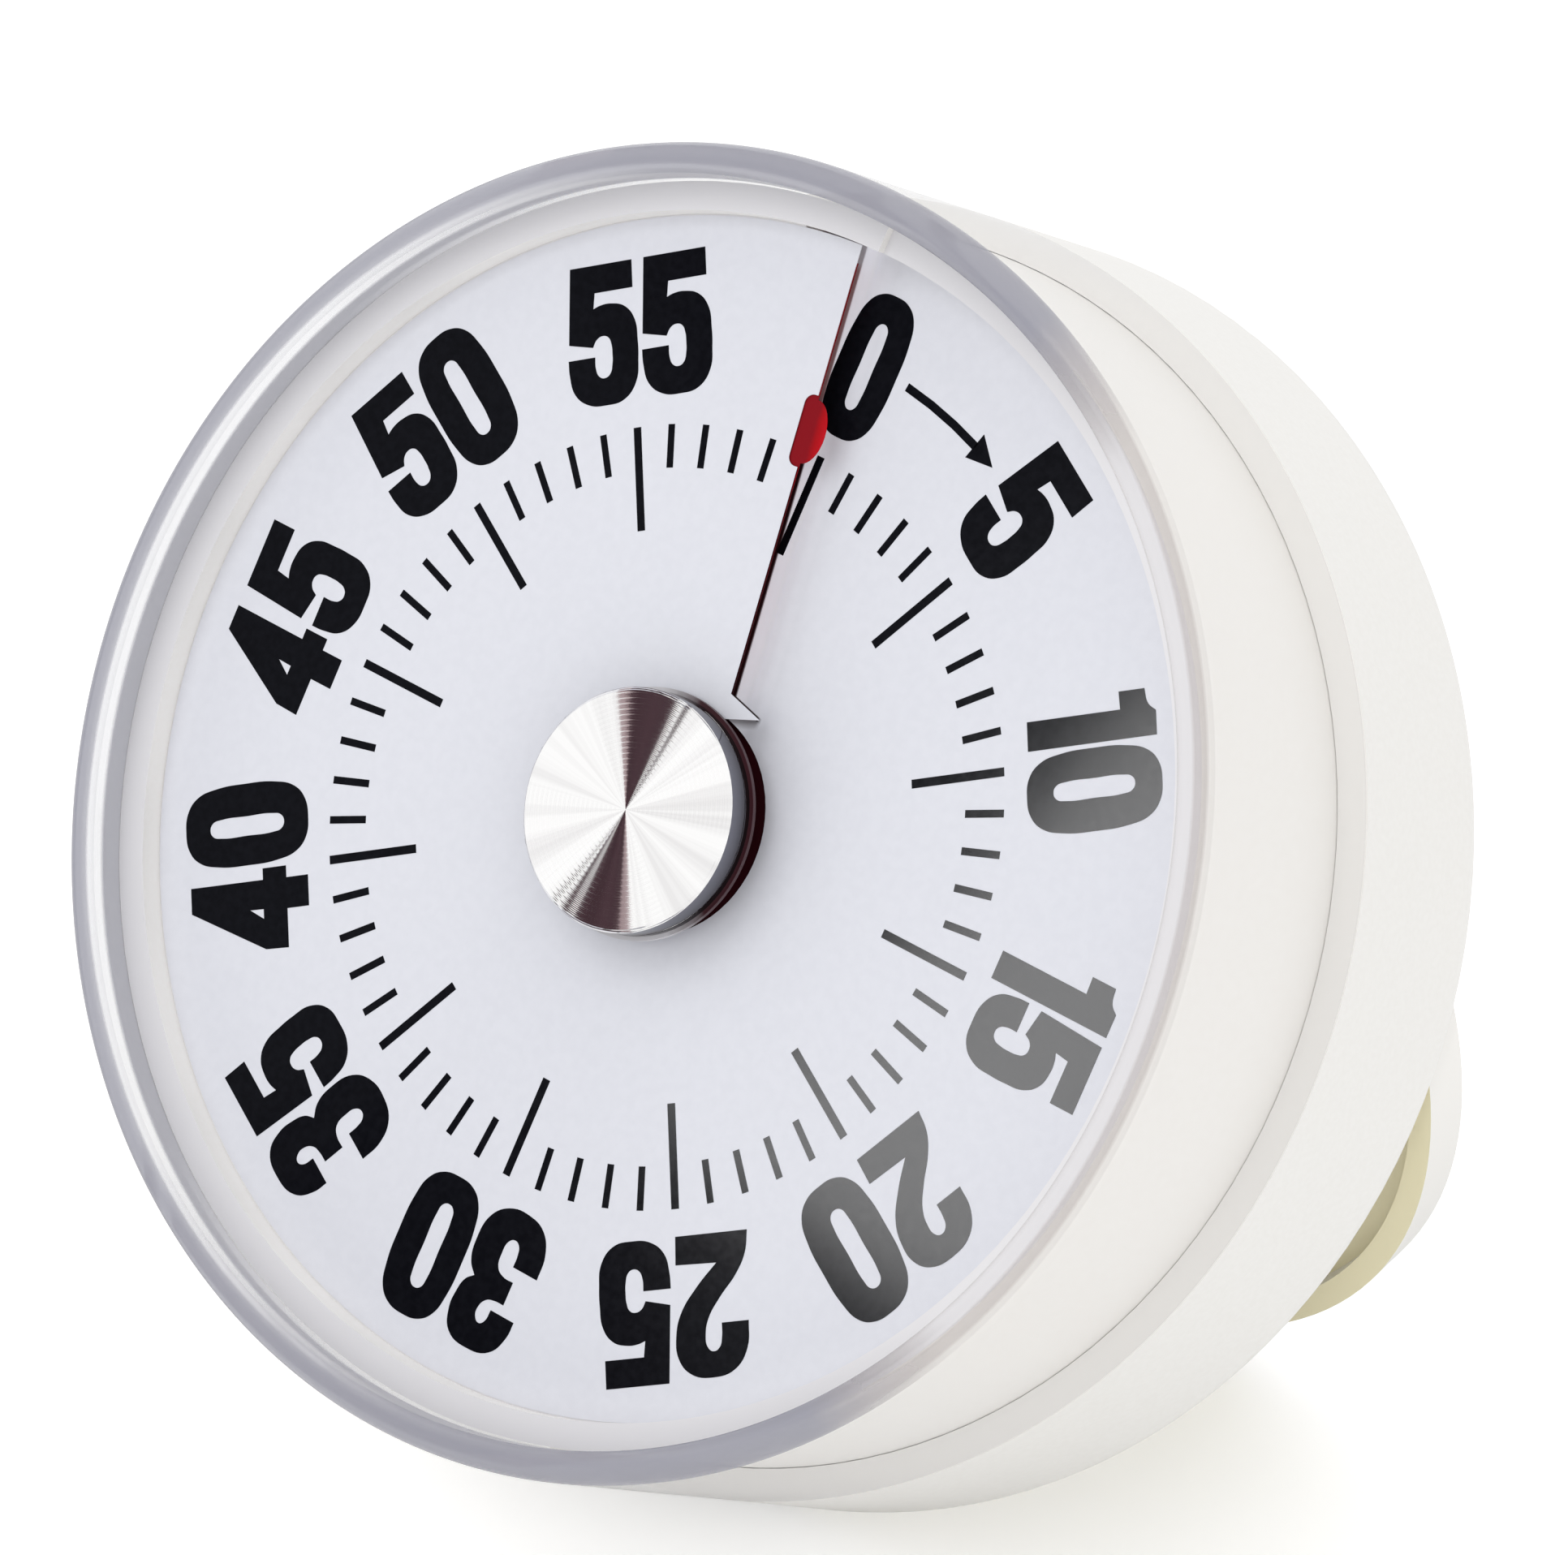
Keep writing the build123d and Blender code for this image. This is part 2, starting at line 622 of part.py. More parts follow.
def make_second_pinion():
    gap_at = SECOND_AT + 180 + 180 / SECOND_LEAVES
    low, high = GREAT_Z - GREAT_THICK - PINION_PROUD, GREAT_Z + PINION_PROUD
    leaves = toothed(SECOND_LEAVES, GREAT_MODULE, second_place(), gap_at, low, high, ARBOR_R)
    return leaves + arbor(second_place())


def make_second_wheel():
    low, high = SECOND_Z - WHEEL, SECOND_Z
    wheel = toothed(SECOND_TEETH, SECOND_MODULE, second_place(), THIRD_AT, low, high, ARBOR_R)
    return wheel - windows(second_place(), SECOND_TEETH, SECOND_MODULE, ARBOR_R + HUB_WALL, low, high)


def make_third_pinion():
    gap_at = THIRD_AT + 180 + 180 / THIRD_LEAVES
    low, high = SECOND_Z - WHEEL - PINION_PROUD, SECOND_Z + PINION_PROUD
    leaves = toothed(THIRD_LEAVES, SECOND_MODULE, third_place(), gap_at, low, high, ARBOR_R)
    return leaves + arbor(third_place())


def make_third_wheel():
    low, high = THIRD_Z - WHEEL, THIRD_Z
    wheel = toothed(THIRD_TEETH, THIRD_MODULE, third_place(), ESCAPE_AT, low, high, ARBOR_R)
    return wheel - windows(third_place(), THIRD_TEETH, THIRD_MODULE, ARBOR_R + HUB_WALL, low, high)


def make_escape_pinion():
    gap_at = ESCAPE_AT + 180 + 180 / ESCAPE_LEAVES
    low, high = THIRD_Z - WHEEL - PINION_PROUD, THIRD_Z + PINION_PROUD
    leaves = toothed(ESCAPE_LEAVES, THIRD_MODULE, escape_place(), gap_at, low, high, ARBOR_R)
    return leaves + arbor(escape_place())


def saw_teeth(teeth, root, tip, lean_share):
    """Outline of a wheel with leaning, pointed teeth."""
    step = 360 / teeth
    outline = []
    for number in range(teeth):
        outline.append(polar(root, number * step))
        outline.append(polar(tip, (number + lean_share) * step))
        outline.append(polar(tip, (number + lean_share + SAW_TIP) * step))
    return make_face(Polyline(*outline, close=True))


def make_escape_wheel():
    outline = saw_teeth(ESCAPE_TEETH, ESCAPE_R - ESCAPE_DEPTH, ESCAPE_R, ESCAPE_LEAN) - Circle(ARBOR_R)
    return Pos(*escape_place()) * prism(outline, ESCAPE_Z - WHEEL, ESCAPE_Z)


def make_balance_wheel():
    """Rimmed balance with two arms, on its arbor."""
    place = Pos(*balance_place())
    low, high = BALANCE_Z - WHEEL, BALANCE_Z
    rim = Circle(BALANCE_R) - Circle(BALANCE_R - BALANCE_RIM)
    arms = Rectangle(2 * BALANCE_R - BALANCE_RIM, BALANCE_RIM) + Circle(2 * ARBOR_R)
    return place * prism(rim + arms, low, high) + arbor(balance_place())


def make_pallet():
    """Anchor with two pins that stand at the escape wheel's teeth."""
    pin_circle = ESCAPE_R + PALLET_GAP + PALLET_PIN_R
    low, high = ESCAPE_Z - WHEEL, ESCAPE_Z
    ex, ey = escape_place()
    bx, by = balance_place()
    anchor = drum(bx, by, 2 * ARBOR_R, high + PALLET_GAP, high + PALLET_GAP + WHEEL)
    for side in (-1, 1):
        dx, dy = polar(pin_circle, BALANCE_AT + side * PALLET_SPREAD)
        px, py = ex + dx, ey + dy
        reach, turn = hypot(px - bx, py - by), degrees(atan2(py - by, px - bx))
        arm = Pos((px + bx) / 2, (py + by) / 2, high + PALLET_GAP + WHEEL / 2)
        anchor += arm * Rot(0, 0, turn) * Box(reach + 2 * PALLET_PIN_R, 3 * PALLET_PIN_R, WHEEL)
        anchor += drum(px, py, PALLET_PIN_R, low, high + PALLET_GAP + WHEEL / 2)
    return anchor - drum(bx, by, ARBOR_R, low, high + 2 * WHEEL + PALLET_GAP)


def make_mainspring():
    """Flat coil made of half turns, each a little wider than the one before."""
    inner, outer = [], []
    shift = SPRING_PITCH / 4
    for half in range(2 * SPRING_TURNS):
        radius = SPRING_IN + half * SPRING_PITCH / 2
        side = 1 if half % 2 == 0 else -1
        centre = -shift if half % 2 == 0 else shift
        start = 0 if half % 2 == 0 else 180
        inner.append(Pos(centre, 0) * CenterArc((0, 0), radius, start, 180))
        outer.append(Pos(centre, 0) * CenterArc((0, 0), radius + SPRING_THICK, start, 180))
    caps = [Line(inner[0] @ 0, outer[0] @ 0), Line(inner[-1] @ 1, outer[-1] @ 1)]
    return prism(make_face(inner + outer + caps), SPRING_Z - SPRING_WIDTH, SPRING_Z)


def make_ratchet_wheel():
    outline = saw_teeth(RATCHET_TEETH, RATCHET_R - RATCHET_DEPTH, RATCHET_R, RATCHET_LEAN)
    outline -= Circle(MAIN_ARBOR_R)
    return prism(outline, RATCHET_Z - WHEEL, RATCHET_Z)


def make_click():
    """Pointed click on a stud, lying against the ratchet wheel's teeth."""
    tip = RATCHET_R + SLIP
    arm = Polyline((CLICK_AT, -CLICK_HALF), (CLICK_AT, CLICK_HALF), (tip, CLICK_RISE), close=True)
    outline = make_face(arm) + Pos(CLICK_AT, 0) * Circle(CLICK_STUD_R)
    return prism(outline, RATCHET_Z - WHEEL, RATCHET_Z)


def make_strike_cam():
    """Round cam with one drop, which lets the hammer fall at minute 0."""
    past = CAM_R + CAM_DROP
    drop = Polyline((CAM_R - CAM_DROP, 0), (past, 0), (past, CAM_RAMP), close=True)
    outline = Circle(CAM_R) - make_face(drop) - Circle(MAIN_ARBOR_R)
    return prism(outline, CAM_Z - CAM_THICK, CAM_Z)


# ---- Bell and hammer ----

def make_bell():
    """Shallow steel bell dish on its post."""
    crown, rim = BELL_CROWN_Z, BELL_RIM_Z
    inner = crown + BELL_WALL
    return turned([
        (BELL_SCREW_R, crown), (BELL_R - BELL_SLOPE, crown), (BELL_R, crown + BELL_SLOPE), (BELL_R, rim),
        (BELL_R - BELL_WALL, rim), (BELL_R - BELL_WALL, crown + BELL_SLOPE),
        (BELL_R - BELL_SLOPE, inner), (BELL_SCREW_R, inner),
    ])


def make_bell_post():
    post = drum(0, 0, BELL_POST_R, BELL_CROWN_Z + BELL_WALL, BACK_PLATE_Z - PLATE)
    return post - drum(0, 0, BELL_SCREW_R, BELL_CROWN_Z + BELL_WALL, BELL_RIM_Z)


def make_bell_screw():
    head = drum(0, 0, BELL_HEAD_R, BELL_CROWN_Z - BELL_HEAD, BELL_CROWN_Z)
    return head + drum(0, 0, BELL_SCREW_R, BELL_CROWN_Z, BELL_RIM_Z - SLIP)


def bar(start, end, width, z_low, z_high):
    """Round-ended flat bar between two points."""
    (x0, y0), (x1, y1) = start, end
    turn = degrees(atan2(y1 - y0, x1 - x0))
    length = hypot(x1 - x0, y1 - y0)
    flat = Pos((x0 + x1) / 2, (y0 + y1) / 2) * Rot(0, 0, turn) * SlotCenterToCenter(length, width)
    return prism(flat, z_low, z_high)


def make_hammer():
    """Arm behind the back plate, and the tail that rides on the cam, on one arbor."""
    arm_high = BACK_PLATE_Z - PLATE - HAMMER_GAP
    shaft = drum(*HAMMER_AT, ARBOR_R, arm_high - HAMMER_ARM, FRONT_PLATE_Z - END_FLUSH)
    arm = bar(HAMMER_AT, hammer_place(), HAMMER_WIDTH, arm_high - HAMMER_ARM, arm_high)
    reach = degrees(atan2(HAMMER_AT[1], HAMMER_AT[0]))
    tail_end = polar(CAM_R + TAIL_GAP + ARBOR_R, reach)
    tail = bar(HAMMER_AT, tail_end, 2 * ARBOR_R, CAM_Z - CAM_THICK, CAM_Z)
    return shaft + arm + tail


def hammer_place():
    return polar(BELL_R + HAMMER_GAP + HAMMER_HEAD_R, HAMMER_ANGLE)


def make_hammer_head():
    high = BACK_PLATE_Z - PLATE - HAMMER_GAP - HAMMER_ARM
    return drum(*hammer_place(), HAMMER_HEAD_R, BELL_CROWN_Z + BELL_WALL, high)


PIECES = {
    "clear_rim": make_clear_rim(),
    "front_body": make_front_body(),
    "rear_case": make_rear_case(),
    "case_screws": make_case_screws(),
    "magnets": make_magnets(),
    "dial_sheet": make_dial_sheet(),
    "red_disc": make_red_disc(),
    "disc_hub": make_disc_hub(),
    "knob": make_knob(),
    "knob_collar": make_knob_collar(),
    "stand_flap": make_stand_flap(),
    "stand_pins": [opened(pin) for pin in hinge_pins(0)],
    "front_plate": make_front_plate(),
    "back_plate": make_back_plate(),
    "pillars": make_pillars(),
    "pillar_screws": make_pillar_screws(),
    "movement_screws": make_movement_screws(),
    "main_arbor": make_main_arbor(),
    "great_wheel": make_great_wheel(),
    "ratchet_wheel": make_ratchet_wheel(),
    "click": make_click(),
    "mainspring": make_mainspring(),
    "strike_cam": make_strike_cam(),
    "second_pinion": make_second_pinion(),
    "second_wheel": make_second_wheel(),
    "third_pinion": make_third_pinion(),
    "third_wheel": make_third_wheel(),
    "escape_pinion": make_escape_pinion(),
    "escape_wheel": make_escape_wheel(),
    "balance_wheel": make_balance_wheel(),
    "pallet": make_pallet(),
    "bell": make_bell(),
    "bell_post": make_bell_post(),
    "bell_screw": make_bell_screw(),
    "hammer": make_hammer(),
    "hammer_head": make_hammer_head(),
}

# Stand the timer on the table, with the middle of its box over the origin.
ANGLE, DROP = lean()
STANDING = Pos(0, 0, DROP) * Rot(90 - ANGLE, 0, 0)
OUTSIDE = [STANDING * PIECES[name] for name in ("clear_rim", "rear_case", "stand_flap")]
MIDDLE = Compound(children=OUTSIDE).bounding_box().center()
PLACE = Pos(0, -MIDDLE.Y, 0) * STANDING

os.makedirs("parts", exist_ok=True)
for name, shape in PIECES.items():
    if isinstance(shape, list):
        shape = Compound(children=[PLACE * solid for solid in shape])
    else:
        shape = PLACE * shape
    export_step(shape, f"parts/{name}.step")
print(f"lean {ANGLE:.3f} deg, dial centre at Y {-MIDDLE.Y:.3f}, Z {DROP:.3f}")
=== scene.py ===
import json
import math

import bmesh
import bpy
from mathutils import Matrix, Vector
from mathutils.bvhtree import BVHTree


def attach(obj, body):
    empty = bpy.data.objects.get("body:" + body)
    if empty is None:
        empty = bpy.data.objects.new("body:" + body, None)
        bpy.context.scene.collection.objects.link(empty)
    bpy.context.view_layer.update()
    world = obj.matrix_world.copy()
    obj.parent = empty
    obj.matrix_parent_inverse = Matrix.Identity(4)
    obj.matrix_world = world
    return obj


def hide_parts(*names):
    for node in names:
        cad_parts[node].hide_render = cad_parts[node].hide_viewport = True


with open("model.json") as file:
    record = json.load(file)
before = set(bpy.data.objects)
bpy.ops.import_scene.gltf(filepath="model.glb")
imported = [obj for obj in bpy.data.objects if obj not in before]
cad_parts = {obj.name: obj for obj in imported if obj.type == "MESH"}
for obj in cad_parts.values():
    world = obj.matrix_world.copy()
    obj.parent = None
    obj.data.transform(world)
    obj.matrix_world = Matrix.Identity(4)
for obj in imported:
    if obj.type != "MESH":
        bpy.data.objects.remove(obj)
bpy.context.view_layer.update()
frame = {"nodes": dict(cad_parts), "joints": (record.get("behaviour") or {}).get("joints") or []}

# ---- Brass plates and wheels ----
# The clockwork's plates and wheels are stamped from sheet brass and left unplated.
# Rolling leaves faint straight grain, and handling dulls the faces in patches.

def feed(socket, value):
    """Give a node's input a value, or the output of another node."""
    if isinstance(value, bpy.types.NodeSocket):
        socket.id_data.links.new(value, socket)
    elif socket.type == "RGBA":
        socket.default_value = (*value, 1.0)
    else:
        socket.default_value = value


def adder(tree):
    """A function that adds a node to the tree. Plain values go to its first inputs, in their order, and a
    named value goes to the node's own setting or to its input of that name."""
    def add(kind, *values, **named):
        node = tree.nodes.new(kind)
        for name, value in named.items():
            if hasattr(node, name):
                setattr(node, name, value)
            else:
                feed(node.inputs[name.replace("_", " ")], value)
        for socket, value in zip(node.inputs, values):
            feed(socket, value)
        return node

    return add


def shader(name):
    """A new material, a function that sets its surface, and a function that adds nodes to it."""
    material = bpy.data.materials.new(name)
    material.use_nodes = True
    inputs = material.node_tree.nodes["Principled BSDF"].inputs

    def surface(**values):
        for label, value in values.items():
            feed(inputs[label.replace("_", " ")], value)

    return material, surface, adder(material.node_tree)


def grain(add, scale, stretch=(1.0, 1.0, 1.0), detail=4.0):
    """Noise on object coordinates, squeezed along the frame's axes by the stretch."""
    where = add("ShaderNodeTexCoord").outputs["Object"]
    place = add("ShaderNodeMapping", where, vector_type="POINT", Scale=stretch).outputs["Vector"]
    return add("ShaderNodeTexNoise", place, Scale=scale, Detail=detail).outputs["Fac"]


def tinted(add, noise, low, high, start=0.35, end=0.65):
    """Colour that drifts from one tone to another as the noise goes from the start to the end."""
    ramp = add("ShaderNodeValToRGB", noise)
    for element, place, tone in zip(ramp.color_ramp.elements, (start, end), (low, high)):
        element.position = place
        element.color = (*tone, 1.0)
    return ramp.outputs["Color"]


def between(add, noise, low, high):
    """A level that drifts between two numbers with the noise."""
    return add("ShaderNodeMapRange", noise, To_Min=low, To_Max=high).outputs["Result"]


def metal(name, scale, tones, roughness, stretch=(1.0, 1.0, 1.0), detail=4.0):
    """Bare metal whose grain drifts between two tones and between two degrees of roughness."""
    material, surface, add = shader(name)
    worn = grain(add, scale, stretch, detail)
    surface(Metallic=1.0, Base_Color=tinted(add, worn, *tones), Roughness=between(add, worn, *roughness))
    return material


def finish(material, *names):
    """Give CAD nodes their material."""
    for name in names:
        materials = frame["nodes"][name].data.materials
        materials.clear()
        materials.append(material)


brass = metal("stamped_brass", scale=300.0, tones=((0.60, 0.43, 0.17), (0.78, 0.60, 0.28)),
              roughness=(0.22, 0.42), stretch=(1.0, 0.2, 1.0), detail=6.0)
finish(brass, "front_plate", "back_plate", "pillars", "great_wheel", "second_wheel", "third_wheel",
       "escape_wheel", "balance_wheel", "strike_cam", "bell_post")

# ---- Steel arbors, pinions, springs and screws ----
# Turned and hardened steel, ground along its length.
# The mainspring is blued darker than the arbors by its tempering.

steel = metal("turned_steel", scale=900.0, tones=((0.48, 0.48, 0.49), (0.66, 0.66, 0.66)),
              roughness=(0.18, 0.36), stretch=(1.0, 1.0, 0.15))
finish(steel, "main_arbor", "second_pinion", "third_pinion", "escape_pinion", "ratchet_wheel", "click",
       "pallet", "hammer", "hammer_head", "pillar_screws", "movement_screws", "case_screws", "stand_pins",
       "bell_screw")

tempered, surface, add = shader("tempered_spring")
bands = grain(add, 220.0, detail=2.0)
surface(Metallic=1.0, Roughness=0.28, Base_Color=tinted(add, bands, (0.10, 0.12, 0.20), (0.30, 0.31, 0.36)))
finish(tempered, "mainspring")

# ---- Bell ----
# A dish pressed from thin steel and barrel polished.
# The hammer's head strikes its edge behind the back plate.

bell_steel = metal("pressed_bell", scale=450.0, tones=((0.58, 0.58, 0.57), (0.72, 0.72, 0.71)),
                   roughness=(0.12, 0.26), detail=5.0)
finish(bell_steel, "bell")

# ---- White body and rear case ----
# Warm white ABS, moulded with a fine satin texture, square to the dial that leans back on the stand.
# The body shows through the clear skirt, and its sloping ring is painted a cool grey, the painted shade of
# the rim.
# The rear case clips up to it, and its narrow ledge is painted lighter, painted light that lifts the shade
# there.

# The dial faces along the axis of the joint that the knob turns on.
turning = next(joint for joint in frame["joints"] if joint["name"] == "dial_turn")
dial_out = -Vector(turning["axis"]).normalized()


def worked(add, operation, first, *others):
    """Arithmetic on one value or two, or on more in turn; each is a number or a node's output."""
    result = add("ShaderNodeMath", first, *others[:1], operation=operation).outputs[0]
    for value in others[1:]:
        result = add("ShaderNodeMath", result, value, operation=operation).outputs[0]
    return result


def along(add, vector, direction):
    """How far a vector reaches along a direction."""
    return add("ShaderNodeVectorMath", vector, direction, operation="DOT_PRODUCT").outputs["Value"]


def facing(add, direction):
    """How squarely the surface faces a direction of the row frame, from -1 to 1."""
    return along(add, add("ShaderNodeTexCoord").outputs["Normal"], direction)


def blended(add, share, first, second):
    """Mix of two colours or levels by a share from 0 to 1."""
    mix = add("ShaderNodeMix", share, data_type="RGBA")
    for socket, value in zip(mix.inputs[6:8], (first, second)):
        feed(socket, value)
    return mix.outputs[2]


def bumped(add, noise, strength, depth):
    """The surface's direction over a relief of this depth in metres."""
    return add("ShaderNodeBump", Strength=strength, Distance=depth, Height=noise).outputs["Normal"]


def satin_abs(name, roughness):
    """Moulded plastic without its colour yet, and the noise of its satin texture."""
    material, surface, add = shader(name)
    satin = grain(add, 2600.0)
    surface(Roughness=roughness, IOR=1.5, Normal=bumped(add, satin, strength=0.12, depth=0.00004))
    return material, surface, add, satin


body_abs, surface, add, satin = satin_abs("white_abs_ring", roughness=0.38)
shell_tone = tinted(add, satin, (0.960, 0.938, 0.903), (0.975, 0.956, 0.924))
# Faces turned toward the front are painted a cool grey: painted shade of the rim on the sloping ring.
painted_ring_shade = add("ShaderNodeMapRange", facing(add, dial_out), 0.1, 0.4).outputs["Result"]
surface(Base_Color=blended(add, painted_ring_shade, shell_tone, (0.80, 0.79, 0.81)))
finish(body_abs, "front_body")

LEDGE_FACING = 0.8
case_abs, surface, add, satin = satin_abs("white_abs", roughness=0.38)
case_tone = tinted(add, satin, (0.905, 0.890, 0.858), (0.925, 0.912, 0.882))
# The forward-facing ledge is painted lighter: painted light against its shade.
painted_ledge_light = worked(add, "GREATER_THAN", facing(add, dial_out), LEDGE_FACING)
surface(Base_Color=blended(add, painted_ledge_light, case_tone, (0.985, 0.97, 0.945)))
finish(case_abs, "rear_case")

# ---- Stand ----
# A folding leg of the same plastic, dished inside and hung on two steel pins in the rear case.
# The inside of its dish is painted a brighter warm cream than its edges, painted bounce light in the shade
# of the open stand.

STAND_SPLAY = 45.0
dish_out = Matrix.Rotation(math.radians(STAND_SPLAY), 3, "X") @ dial_out


def ramped(add, value, low, high, stops):
    """Colour or level read from a ramp, whose stops lie between the low and the high value."""
    spread = add("ShaderNodeMapRange", value, low, high).outputs["Result"]
    ramp = add("ShaderNodeValToRGB", spread)
    elements = ramp.color_ramp.elements
    for number, (place, tone) in enumerate(stops):
        element = elements[number] if number < 2 else elements.new(1.0)
        element.position = (place - low) / (high - low)
        element.color = (*tone, 1.0) if isinstance(tone, tuple) else (tone, tone, tone, 1.0)
    return ramp.outputs["Color"]


stand_abs_painted_bounce, surface, add, satin = satin_abs("stand_abs_painted_bounce", roughness=0.42)
# Faces turned into the dish are painted a brighter warm cream: painted bounce light in their shade.
surface(Base_Color=ramped(add, facing(add, dish_out), 0.0, 1.0, (
    (0.80, (0.882, 0.866, 0.834)), (0.95, (0.99, 0.92, 0.64)))))
finish(stand_abs_painted_bounce, "stand_flap")

# ---- Magnets ----
# Two nickel-plated ferrite discs, glued flush into the back.
# They hold the folded timer to a steel door or board, which scuffs the plating.

plated = metal("nickel_plate", scale=700.0, tones=((0.40, 0.40, 0.41), (0.52, 0.52, 0.52)),
               roughness=(0.25, 0.45), detail=8.0)
finish(plated, "magnets")

# ---- White dial ----
# A cool white film that climbs one turn from its lower end to the lip of the slit.
# It lies on the body's shelf, and a thin gloss varnish covers it.

MM = 0.001
dial_right = Vector((1.0, 0.0, 0.0))
dial_up = dial_out.cross(dial_right)
dial_frame = Matrix((dial_right, dial_up, dial_out)).transposed().to_4x4()
dial_frame.translation = Vector(turning["pos_m"])
DIAL_TURN = dial_frame.to_euler("XYZ")


def on_dial(add):
    """A point's place in millimetres on the dial's axes, which run right, up and out from its centre."""
    where = add("ShaderNodeTexCoord").outputs["Object"]
    place = add("ShaderNodeMapping", where, vector_type="TEXTURE", Location=dial_frame.translation,
                Rotation=DIAL_TURN, Scale=(MM, MM, MM))
    return place.outputs["Vector"]


def length_of(add, vector):
    return add("ShaderNodeVectorMath", vector, operation="LENGTH").outputs["Value"]


def parts_of(add, vector):
    return add("ShaderNodeSeparateXYZ", vector).outputs


dial_film, surface, add = shader("dial_film")
fibres = grain(add, 1500.0, detail=5.0)
white_film = tinted(add, fibres, (0.725, 0.735, 0.795), (0.745, 0.755, 0.815))
place = on_dial(add)
x, y, z = parts_of(add, place)

# The film's cut edge is painted with the slit's shade: nearly black towards the hub, a shaded pink of the
# red disc further out, and fading to the film's own tone outside.
RADII = (0.0, 40.0)
EDGE_FACING = 0.5
cut_edge = worked(add, "LESS_THAN", worked(add, "ABSOLUTE", facing(add, dial_out)), EDGE_FACING)
painted_edge_tone = ramped(add, length_of(add, place), *RADII, (
    (22.5, (0.020, 0.007, 0.009)), (27.2, (0.50, 0.30, 0.31)),
    (34.6, (0.50, 0.34, 0.35)), (35.0, (0.74, 0.75, 0.80))))

# The lip hangs over the film's lower end. Beside it the lower end is given a painted glow that lifts its
# shade, and a painted shadow line follows the lip and goes on round the beak, which is the lip's end beside
# the hub.
LIP_ACROSS = (0.9898, 0.1427, 0.0)
BEAK_TOP_ACROSS = (0.2303, 0.9731, 0.0)
BEAK_FOOT_ACROSS = (0.356, -0.9346, 0.0)
PAST_LIP = (1.0, 6.0)
LOWER_END_TOP = -0.3
below_lip = worked(add, "LESS_THAN", z, LOWER_END_TOP)
lower_end = worked(add, "MULTIPLY", below_lip, worked(add, "GREATER_THAN", y, 0.0))
across = along(add, place, LIP_ACROSS)
painted_glow_beside_lip = ramped(add, across, *PAST_LIP, (
    (2.28, 0.0), (2.40, 0.52), (2.9, 0.44), (3.3, 0.30), (3.9, 0.12), (4.9, 0.0)))
lip_line = ramped(add, across, *PAST_LIP, ((1.3, 0.0), (1.4, 1.0), (2.26, 1.0), (2.38, 0.0)))
beak_top = ramped(add, along(add, place, BEAK_TOP_ACROSS), 8.0, 9.0, (
    (8.15, 0.0), (8.20, 1.0), (8.44, 1.0), (8.50, 0.0)))
beak_foot = ramped(add, along(add, place, BEAK_FOOT_ACROSS), -7.0, -5.0, (
    (-6.2, 0.0), (-6.1, 0.75), (-5.95, 0.7), (-5.5, 0.0)))
beak_reach = ramped(add, x, 0.0, 5.0, ((0.3, 0.0), (0.5, 1.0), (3.2, 1.0), (3.5, 0.0)))
beak_line = worked(add, "MULTIPLY", worked(add, "MAXIMUM", beak_top, beak_foot), beak_reach)
painted_shadow_line = worked(add, "MULTIPLY", lower_end, worked(add, "MAXIMUM", lip_line, beak_line))

film_tone = blended(add, worked(add, "MAXIMUM", cut_edge, painted_shadow_line), white_film, painted_edge_tone)
# The glow beside the lip is painted light, not a lamp.
surface(Roughness=0.42, Coat_Weight=0.25, Coat_Roughness=0.10, Base_Color=film_tone,
        Emission_Color=film_tone, Emission_Strength=worked(add, "MULTIPLY", lower_end, painted_glow_beside_lip),
        Normal=bumped(add, fibres, strength=0.05, depth=0.00002))
finish(dial_film, "dial_sheet")

# ---- Dial print ----
# Black ink, screen printed flat on the film before it is bent to its climb: a mark for each minute,
# a longer one for every fifth, heavy condensed numerals, and an arrow from 0 that shows which way it
# runs. It dries to a slight gloss.

ink, surface, add = shader("dial_ink")
specks = grain(add, 2200.0, detail=3.0)
surface(Specular_IOR_Level=0.035, Roughness=between(add, specks, 0.08, 0.14),
        Base_Color=tinted(add, specks, (0.0040, 0.0042, 0.0062), (0.0060, 0.0063, 0.0090)))

# The ink starts just below the film's top, so that no gap opens under it.
INK_LOW = -0.008
INK_HIGH = 0.014
INK_THICK = INK_HIGH - INK_LOW
INK_MIDDLE = (INK_HIGH + INK_LOW) / 2


def new_object(name, data):
    holder = bpy.data.objects.new(name, data)
    bpy.context.scene.collection.objects.link(holder)
    return holder


def evaluated(holder):
    """The finished mesh of an object with a modifier or a curve, as plain data."""
    graph = bpy.context.evaluated_depsgraph_get()
    mesh = bpy.data.meshes.new_from_object(holder.evaluated_get(graph))
    bpy.data.objects.remove(holder)
    return mesh


def node_group(name, inputs):
    """An empty geometry group with named inputs, what comes from them, its output node, and a function
    that adds nodes to it."""
    group = bpy.data.node_groups.new(name, "GeometryNodeTree")
    for label, kind in inputs:
        group.interface.new_socket(label, in_out="INPUT", socket_type=kind)
    group.interface.new_socket("Geometry", in_out="OUTPUT", socket_type="NodeSocketGeometry")
    put = adder(group)
    return group, put("NodeGroupInput").outputs, put("NodeGroupOutput"), put


def vector_of(put, x, y, z):
    return put("ShaderNodeCombineXYZ", x, y, z).outputs[0]


